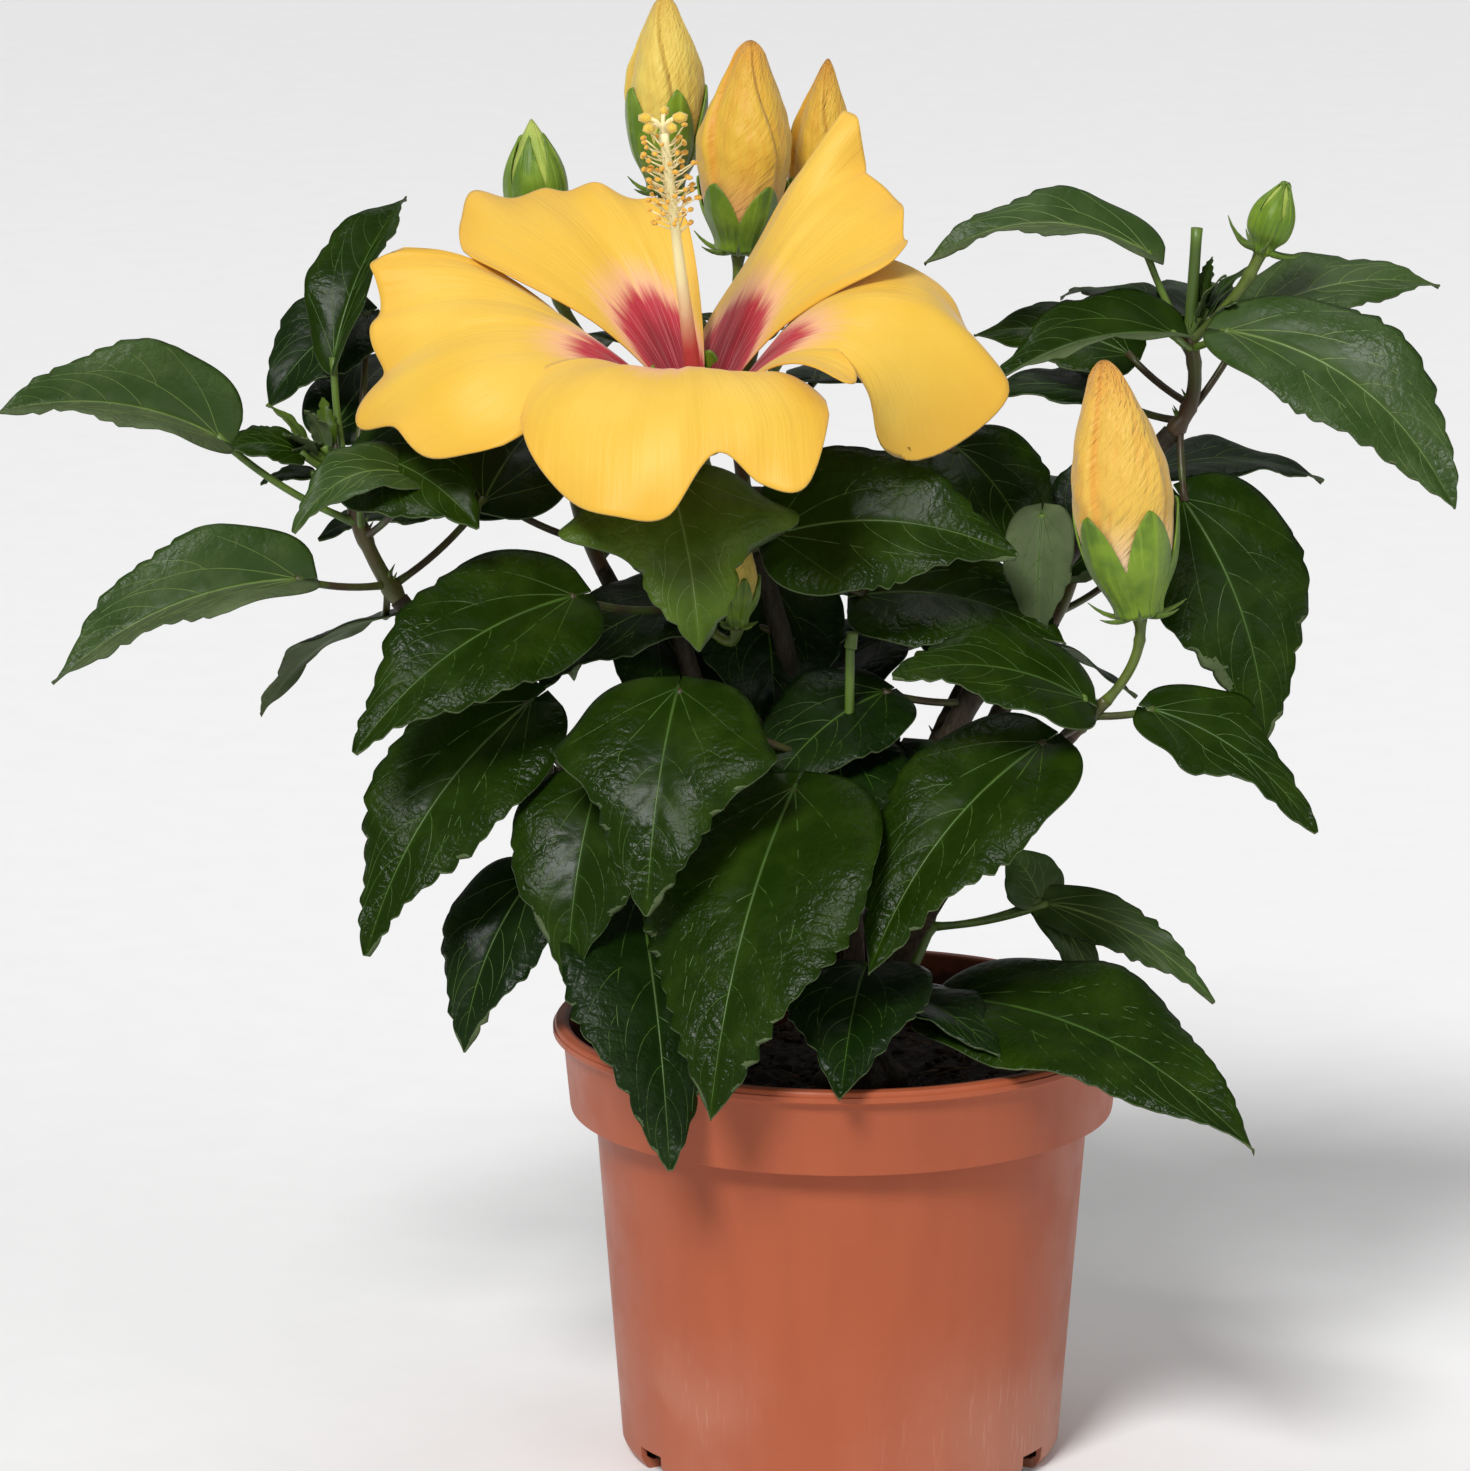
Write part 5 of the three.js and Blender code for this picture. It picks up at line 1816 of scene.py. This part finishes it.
class Bloom:
    """The open bloom: its petals, the column with anthers and stigmas, and the calyx under it."""

    foot = Vector((-31.8, -5, 236.5))
    axis = Vector((-0.1, -0.39, 0.915)).normalized()
    stem = ("bloom", 1.0)
    seat = 3.8
    calyx = 9.0
    column = 76.0
    column_radius = (1.9, 1.05)
    anthers = 74
    anther_turn = 137.5
    stigmas = 5
    petals = (
        Petal(178, ((3, 0), (16, 27), (44, 44), (74, 18)), (22, 37), 0.02, -5, (-9, -4), 2, 0.4,
              (1.04, 0.96, 0.94, 0.95, 0.96, 1.03, 0.96, 0.97, 0.9), (12, 9, 4, 1, -3, -1, -1, -6, -2)),
        Petal(121, ((3, 0), (18, 26), (38, 40), (62, 33)), (18, 29), 0.12, -2, (0, 0), 2, 1.9,
              (0.75, 0.87, 0.91, 0.94, 0.96, 0.96, 1.0, 0.97, 0.93), (0, -3, -3, -1, -1, 2, 4, 3, 0),
              (0.7, 1.2)),
        Petal(39, ((3, 0), (18, 26), (36, 40), (63, 42)), (29, 13.2), 0.08, 2, (0, -14), 2, 3.1,
              (1.0, 0.91, 0.92, 0.9, 0.88, 0.91, 0.95, 0.97, 1.0), (0, -2, -3, -1, -2, 0, 5, 7, 2),
              (1.35, 0.42)),
        Petal(-20, ((3, 0), (18, 27), (44, 50), (68, 14)), (26, 34), -0.05, 3, (-1, -4), 2, 4.2,
              (0.82, 0.75, 0.62, 0.95, 1.04, 1.05, 0.99, 0.96, 0.94), (3, 2, -2, -25, -19, -2.5, -3, -3, -3)),
        Petal(-96, ((3, 0), (10, 36), (36, 40), (58, 14)), (47, 40), 0, 2, (-3, -9), 2, 5.6,
              (0.84, 0.92, 0.98, 0.99, 0.98, 0.84, 0.95, 1.02, 0.93), (0, 0, 1, 0, 0, -3, -1, -1, 0)),
    )

    def build_petals(self) -> bpy.types.Object:
        """The five petals on their seat.

        Returns:
            The piece.
        """
        piece = Piece("bloom_petals_fine", "petal", [PetalSkin().make()])
        for petal in self.petals:
            sheet = woven(72, 72, petal.place)
            piece.take(standing(shell(sheet, petal.thickness, 0), self.foot, self.axis))
        seat = blank()
        bmesh.ops.create_uvsphere(seat, u_segments=24, v_segments=16, radius=self.seat)
        piece.take(standing(seat, self.foot, self.axis))
        return piece.finish("bloom_petals")

    def build_column(self) -> bpy.types.Object:
        """The column, the anthers on their filaments and the stigmas.

        Returns:
            The piece.
        """
        piece = Piece("bloom_column_fine", "column", [
            ColumnSkin().make(),
            Dusty("pollen", tint(244, 194, 68), tint(226, 156, 40)).make(),
            Dusty("stigma", tint(240, 208, 84), tint(224, 178, 54)).make(),
            Dusty("filament", tint(255, 246, 198), tint(250, 228, 156)).make(),
        ])
        start = self.foot + self.axis * (self.seat - 1)
        end = self.foot + self.axis * self.column
        thick, thin = self.column_radius
        path = [start.lerp(end, i / 30) for i in range(31)]
        piece.take(tube(path, lambda t: thick + (thin - thick) * smooth(0, 0.75, t), 20), 0)
        draw = seeded(SEED + 2)
        for i in range(self.anthers):
            share = (0.68 + 0.27 * i / self.anthers) if i % 12 else 0.62 + 0.06 * next(draw)
            root = start.lerp(end, share)
            length = 4.8 + 2.4 * next(draw)
            out = square(heading(i * self.anther_turn, 0), self.axis) + self.axis * (0.5 + 0.5 * next(draw))
            tip = root + out.normalized() * length
            middle = root.lerp(tip, 0.5) - self.axis * (0.5 * next(draw))
            piece.take(tube([root, middle, tip], lambda t: 0.24 - 0.09 * t, 4), 3)
            self.grain(piece, tip, 0.7 + 0.22 * next(draw), 1, 360 * next(draw))
        for i in range(self.stigmas):
            turn = i * 72 + 10
            tip = end + square(heading(turn, 0), self.axis) * 3.9 + self.axis * 3.0
            branch = Bend(end - self.axis, end + self.axis * 3.4, tip).points(6)
            piece.take(tube(branch, lambda t: 0.5, 6), 3)
            self.grain(piece, tip, 1.75, 2, turn)
        return piece.finish("bloom_column")

    def grain(self, piece: Piece, spot: Vector, size: float, finish: int, turn: float) -> None:
        """Adds a small bean, such as an anther or a stigma's pad.

        Args:
            piece: the piece.
            spot: its middle.
            size: its radius.
            finish: its finish's number.
            turn: its turn about +Z, in degrees.
        """
        bean = blank()
        bmesh.ops.create_icosphere(bean, subdivisions=1, radius=size)
        bmesh.ops.scale(bean, vec=(1.15, 0.7, 0.75), verts=bean.verts)
        spin = Quaternion(UP, math.radians(turn)).to_matrix()
        bmesh.ops.rotate(bean, cent=(0, 0, 0), matrix=spin, verts=bean.verts)
        bmesh.ops.translate(bean, vec=spot, verts=bean.verts)
        piece.take(bean, finish)

    def build_calyx(self, stems: dict[str, Bend], skins: list[bpy.types.Material]) -> bpy.types.Object:
        """The calyx and the flower's stalk.

        Args:
            stems: the shoots' stems.
            skins: the finishes of sepal and stalk.

        Returns:
            The piece.
        """
        piece = Piece("bloom_calyx_fine", "sepal", skins)
        under = self.foot - self.axis * (self.seat + GAP + 2.4)
        cup = Calyx(self.calyx * 2.1, 0.34, lambda z: self.seat + 0.9 + 0.35 * z)
        cup.add_to(piece, under, self.axis)
        foot = self.foot - self.axis * (self.seat + 2.4)
        flower_stalk(piece, stems, self.stem, foot, self.axis, 1.4)
        return piece.finish("bloom_calyx")


@dataclass(frozen=True)
class Calyx:
    """A cup with pointed lobes, round the foot of the petals that it holds.

    Notch is the share of its height where the lobes part, holds gives the petals' radius at a height, and
    spread is how far the lobes' tips stand off.
    """

    height: float
    notch: float
    holds: Callable[[float], float]
    spread: float = 0.0
    turn: float = 0.0
    lobes: int = 5
    thickness: float = 0.45
    low: float = 0.16
    floor: float = 2.0

    def add_to(self, piece: Piece, foot: Vector, axis: Vector) -> None:
        """Adds the cup to a piece.

        Args:
            piece: the piece that it belongs to.
            foot: the middle of its underside.
            axis: the direction that it opens to.
        """

        def place(across: float, share: float) -> Vector:
            """The cup's point at (across, share), about its axis."""
            turn = math.pi * across + math.radians(self.turn)
            saw = abs((across * self.lobes / 2) % 1 - 0.5) * 2
            lobe = self.notch + (1 - self.notch) * (0.3 * saw + 0.7 * (1 - (1 - saw) ** 2))
            if share < self.low:
                z = self.floor * share / self.low
                closing = math.sin(share / self.low * math.pi / 2)
            else:
                z = self.floor + (self.height * lobe - self.floor) * (share - self.low) / (1 - self.low)
                closing = 1.0
            side = self.holds(max(z, 2.4)) + 0.6 + 0.5 * hump(saw, 1.0, 0.4) * smooth(0, 0.5, share)
            side -= 0.4 * hump(saw, 1.0, 0.05) + 0.3 * hump(saw, 0.0, 0.1)
            side += (self.spread - 0.5) * smooth(0.6, 1.0, share) * saw
            side *= closing
            return Vector((side * math.cos(turn), side * math.sin(turn), z))

        sheet = woven(100, 28, place)
        bmesh.ops.remove_doubles(sheet, verts=sheet.verts, dist=1e-3)
        bmesh.ops.recalc_face_normals(sheet, faces=sheet.faces)
        piece.take(standing(shell(sheet, self.thickness, 0), foot, axis), 0)


def bracts(piece: Piece, foot: Vector, axis: Vector, radius: float, length: float, count: int = 7) -> None:
    """Adds the ring of narrow bracts under a calyx.

    Args:
        piece: the piece that they belong to.
        foot: the middle of the ring.
        axis: the flower's direction.
        radius: how wide the ring is.
        length: how long each bract is.
        count: how many there are.
    """
    for i in range(count):
        side = square(heading(i * 360 / count + 12, 0), axis)
        root = foot + side * radius * 0.6
        tip = foot + side * (radius + length * 0.75) + axis * (length * (0.45 if i % 2 else 0.2))
        path = Bend(root, root + side * length * 0.5 - axis * 0.4, tip).points(6)
        piece.take(tube(path, lambda t: 0.62 * (1 - t**2) + 0.1, 5), 0)


def flower_stalk(
    piece: Piece, stems: dict[str, Bend], start: tuple[str, float], foot: Vector, axis: Vector, radius: float
) -> None:
    """Adds a flower's stalk, from a shoot's stem to where the flower stands.

    Args:
        piece: the piece that it belongs to, whose second finish it takes.
        stems: the shoots' stems.
        start: the shoot, and the place on its stem.
        foot: the flower's foot.
        axis: the flower's direction.
        radius: the stalk's radius at its root.
    """
    shoot, at = start
    root = stems[shoot].point(min(at, 0.96))
    bend = foot - axis * (0.45 * (foot - root).length)
    curve = Bend(root, bend, foot + axis * 0.8)

    def girth(t: float) -> float:
        """The stalk's radius at a share t of its length."""
        knuckles = 0.28 * hump(t, 0.72, 0.03) + 0.5 * hump(t, 1, 0.08) + 0.3 * hump(t, 0, 0.06)
        return radius * (1 + 0.1 * t + knuckles)

    piece.take(tube(curve.points(max(int(curve.length / 1.2), 20)), girth, 12), 1)


@dataclass(frozen=True)
class Bud:
    """A flower bud: its shoot and the place there, its base and tip, its radius and its calyx's share.

    Folds, swirl and turn say how its petals are wound, bract scales its bracts, lobes_turn turns its calyx,
    and profile gives its radius as shares from base to tip.
    """

    start: tuple[str, float]
    base: Point
    tip: Point
    radius: float
    calyx: float
    skin: str = "furled"
    folds: int = 4
    swirl: float = 0.55
    turn: float = 0.0
    bract: float = 1.0
    lobes_turn: float = 0.0
    profile: tuple[float, ...] = (0.42, 0.78, 0.95, 1.0, 0.84, 0.55, 0.24)
    seat: float = 3.0

    @property
    def reach(self) -> Vector:
        """From its base to its tip."""
        return Vector(self.tip) - Vector(self.base)

    def outline(self, t: float) -> float:
        """How far its side stands from its axis at a share t of its length."""
        return self.radius * spread(self.profile, min(max(t, 0.0), 1.0))

    def above(self, t: float) -> float:
        """The share of its free length, out of the calyx, that lies under a share t of its length."""
        held = self.calyx * 0.6
        return max(0.0, t - held) / (1 - held)

    def wound(self, across: float, share: float) -> tuple[float, float]:
        """The place of its furled petals on their UV map.

        Args:
            across: the turn, from -1 to 1.
            share: the row.

        Returns:
            How many petals lie before it, and the row.
        """
        t = eased(share)
        wind = self.folds * across / 2 + self.swirl * self.above(t) + 0.05 * math.sin(7 * t + self.turn)
        return wind, share

    def furl(self, across: float, share: float) -> Vector:
        """The point of its furled petals, about its axis.

        Args:
            across: the turn, from -1 to 1.
            share: the row, from base to tip.

        Returns:
            The point.
        """
        t = eased(share)
        turn = math.pi * across + self.turn
        above = self.above(t)
        wind = self.wound(across, share)[0] % 1
        lap = wind - 0.5 - 0.7 * hump(wind, 1.0, 0.05)
        spot = Vector((math.cos(turn) * 2, math.sin(turn) * 2, t * 4 + self.radius))
        crinkle = noise.noise(spot) * 0.05 + 0.012 * math.sin(40 * t + 9 * wind) * smooth(0, 0.3, above)
        side = self.outline(t) * (1 + 0.24 * min(1, above * 2.2) * lap + crinkle * smooth(0.1, 0.5, t))
        if share in (0, 1):
            side = 0.0
        side *= math.sqrt(max(1 - max((t - 0.93) / 0.07, 0) ** 2, 0))
        seat = self.seat
        return Vector((side * math.cos(turn), side * math.sin(turn), seat + (self.reach.length - seat) * t))

    def build(self, name: str, stems: dict[str, Bend], skins: Skins) -> list[bpy.types.Object]:
        """The bud's petals, and its calyx with bracts and stalk.

        Args:
            name: the bud's name.
            stems: the shoots' stems.
            skins: the finishes by name.

        Returns:
            The pieces.
        """
        foot = Vector(self.base)
        axis = self.reach.normalized()
        length = self.reach.length
        green = [skins["sepal"], skins["stalk"], skins["young"]]

        def holds(z: float) -> float:
            """The radius that the calyx goes round, at a height z."""
            return self.outline((z - self.seat) / (length - self.seat)) * 1.03

        if self.skin == "young":
            piece = Piece(f"bud_{name}_fine", "sepal", green)
            piece.take(standing(closed(woven(96, 60, self.furl)), foot, axis), 2)
            Calyx(length * self.calyx, 0.52, holds, turn=self.lobes_turn).add_to(piece, foot, axis)
            bracts(piece, foot + axis * 2, axis, self.radius * 0.6, (self.radius * 0.95 + 2) * self.bract)
            flower_stalk(piece, stems, self.start, foot + axis * 2, axis, 1.2)
            return [piece.finish(f"bud_{name}")]
        petals = Piece(f"bud_{name}_fine", "petal", [skins[self.skin]])
        columns = max(int(14 * self.radius), 90)
        rows = max(int(1.7 * length), 60)
        petals.take(standing(closed(woven(columns, rows, self.furl, self.wound)), foot, axis))
        cup = Piece(f"bud_{name}_calyx_fine", "sepal", green)
        Calyx(self.calyx * length * 1.12, 0.48, holds, 0.1, self.lobes_turn).add_to(cup, foot, axis)
        bracts(cup, foot + axis * 1.2, axis, self.radius * 0.4, self.radius * 0.7 + 1)
        flower_stalk(cup, stems, self.start, foot, axis, 1.1)
        return [petals.finish(f"bud_{name}"), cup.finish(f"bud_{name}_calyx")]


GREEN = (0.5, 0.9, 1.0, 0.95, 0.75, 0.42, 0.1)
BUDS = {
    "top_left": Bud(("crown", 0.85), (-39.8, 50, 278.7), (-39.8, 50, 324.7), 8.7, 0.5, "furled_pale",
                    turn=0.4),
    "top_middle": Bud(("crown", 1), (-23.3, 34, 267.6), (-20.4, 34, 316.6), 10.6, 0.32, "furled_deep",
                      turn=1.0, lobes_turn=16, profile=(0.45, 0.77, 0.94, 1.0, 0.78, 0.47, 0.22)),
    "top_right": Bud(("crown", 0.7), (-6.4, 48, 266.5), (-3, 48, 310.5), 7, 0.35, "furled_deep", turn=2.2,
                     profile=(0.5, 0.8, 1.0, 1.0, 0.8, 0.46, 0.14)),
    "side": Bud(("right_low", 1), (64.7, -30, 197.5), (56, -30, 255.5), 11.2, 0.4, "furled", swirl=-0.37,
                turn=2.3, lobes_turn=8),
    "low": Bud(("bloom", 0.35), (-23.6, -5, 190), (-23.3, -5, 213), 4.4, 0.5, "furled_pale"),
    "green_left": Bud(("crown", 0.5), (-67.8, 41, 270.3), (-69.8, 41, 297.8), 6.4, 0.88, "young", turn=0.3,
                      lobes_turn=38, profile=GREEN),
    "green_right": Bud(("right_high", 1), (91.5, 0, 273), (97.5, 0, 290), 4.2, 1.0, "young", turn=1.2,
                       bract=1.6, lobes_turn=36, profile=GREEN),
}


def facing(look: Vector) -> Euler:
    """The turn of a light or camera that looks along a direction."""
    return look.to_track_quat("-Z", "Y").to_euler()


class Studio:
    """The pale floor, the soft lights and the camera at the photograph's angle."""

    focal_pixels = 8050
    picture_width = 1470
    sensor = 36.0
    target = Vector((-24, 0, 165))
    distance = 1800.0
    pitch = 12.77
    floor_radius = 12.0
    key_from = (-112, 44)
    key_power = 2.65
    key_width = 17
    light_height = 0.18

    def floor(self) -> None:
        """Lays the floor under the pot."""
        coat = Coat("floor_paper", (0.92, 0.92, 0.92, 1), 0.9)
        grain = coat.cloud(coat.spot(), 60, 3)
        coat.paint(coat.mix(grain, (0.9, 0.9, 0.9, 1), (0.94, 0.94, 0.94, 1)))
        mesh = bmesh.new()
        bmesh.ops.create_circle(mesh, cap_ends=True, segments=96, radius=self.floor_radius)
        as_object("floor", mesh, [coat.material])

    def light(self, name: str, azimuth: float, rise: float, away: float, size: float, power: float) -> None:
        """Hangs a square soft light that faces the plant.

        Args:
            name: its name.
            azimuth: the direction that it stands in.
            rise: how high it stands, in degrees.
            away: its distance in metres.
            size: its side in metres.
            power: its power in watts.
        """
        lamp = bpy.data.lights.new(name, "AREA")
        lamp.size = size
        lamp.energy = power
        stand = placed(name, lamp)
        middle = Vector((0, 0, self.light_height))
        stand.location = middle + heading(azimuth, rise) * away
        stand.rotation_euler = facing(middle - stand.location)

    def sun(self) -> None:
        """Hangs the wide soft key light, which is as strong everywhere on the floor."""
        lamp = bpy.data.lights.new("key", "SUN")
        lamp.energy = self.key_power
        lamp.angle = math.radians(self.key_width)
        placed("key", lamp).rotation_euler = facing(-heading(*self.key_from))

    def camera(self) -> None:
        """Sets up the camera."""
        lens = bpy.data.cameras.new("view")
        lens.sensor_width = self.sensor
        lens.lens = self.focal_pixels / self.picture_width * self.sensor
        lens.clip_end = 100
        camera = placed("view", lens)
        look = heading(90, -self.pitch)
        camera.location = (self.target - look * self.distance) * MM
        camera.rotation_euler = facing(look)
        bpy.context.scene.camera = camera

    def build(self) -> None:
        """Floor, lights, camera and the way that colours are shown."""
        self.floor()
        self.sun()
        self.light("fill", -48, 30, 2.4, 1.2, 7)
        self.light("top", 90, 70, 2.2, 1.0, 7)
        world = bpy.data.worlds.new("studio")
        world.use_nodes = True
        back = world.node_tree.nodes["Background"]
        back.inputs["Color"].default_value = (1, 1, 1, 1)
        back.inputs["Strength"].default_value = 0.25
        bpy.context.scene.world = world
        bpy.context.scene.view_settings.view_transform = "Standard"
        self.camera()


# The paler and the deeper bud's colours
FURLED = {
    "furled_pale": (tint(222, 196, 92), tint(208, 160, 60), tint(214, 206, 120)),
    "furled_deep": (tint(214, 172, 58), tint(212, 140, 44), tint(214, 160, 106)),
}


def main() -> None:
    """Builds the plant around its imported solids."""
    logging.basicConfig(level=logging.INFO, format="%(name)s %(message)s")
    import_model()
    studio = Studio()
    studio.build()
    pot = Pot()
    pot.build()
    Soil(pot).build()
    wood = Wood()
    wood.build()
    foliage = Foliage(wood)
    foliage.build()
    skins = {
        "sepal": SepalSkin().make(),
        "stalk": GreenStem("flower_stalk", tint(96, 112, 40), tint(70, 84, 30)).make(),
        "young": SepalSkin("young_petal", tint(176, 190, 84), tint(146, 168, 60), tint(196, 206, 108)).make(),
        "furled": FurledSkin("furled_petal", tint(222, 180, 76), tint(222, 146, 54), crinkled=1.1).make(),
    }
    for name, colours in FURLED.items():
        skins[name] = FurledSkin(name, *colours).make()
    bloom = Bloom()
    bloom.build_petals()
    bloom.build_column()
    bloom.build_calyx(foliage.stems, [skins["sepal"], skins["stalk"]])
    for name, bud in BUDS.items():
        bud.build(name, foliage.stems, skins)


if __name__ == "__main__":
    main()
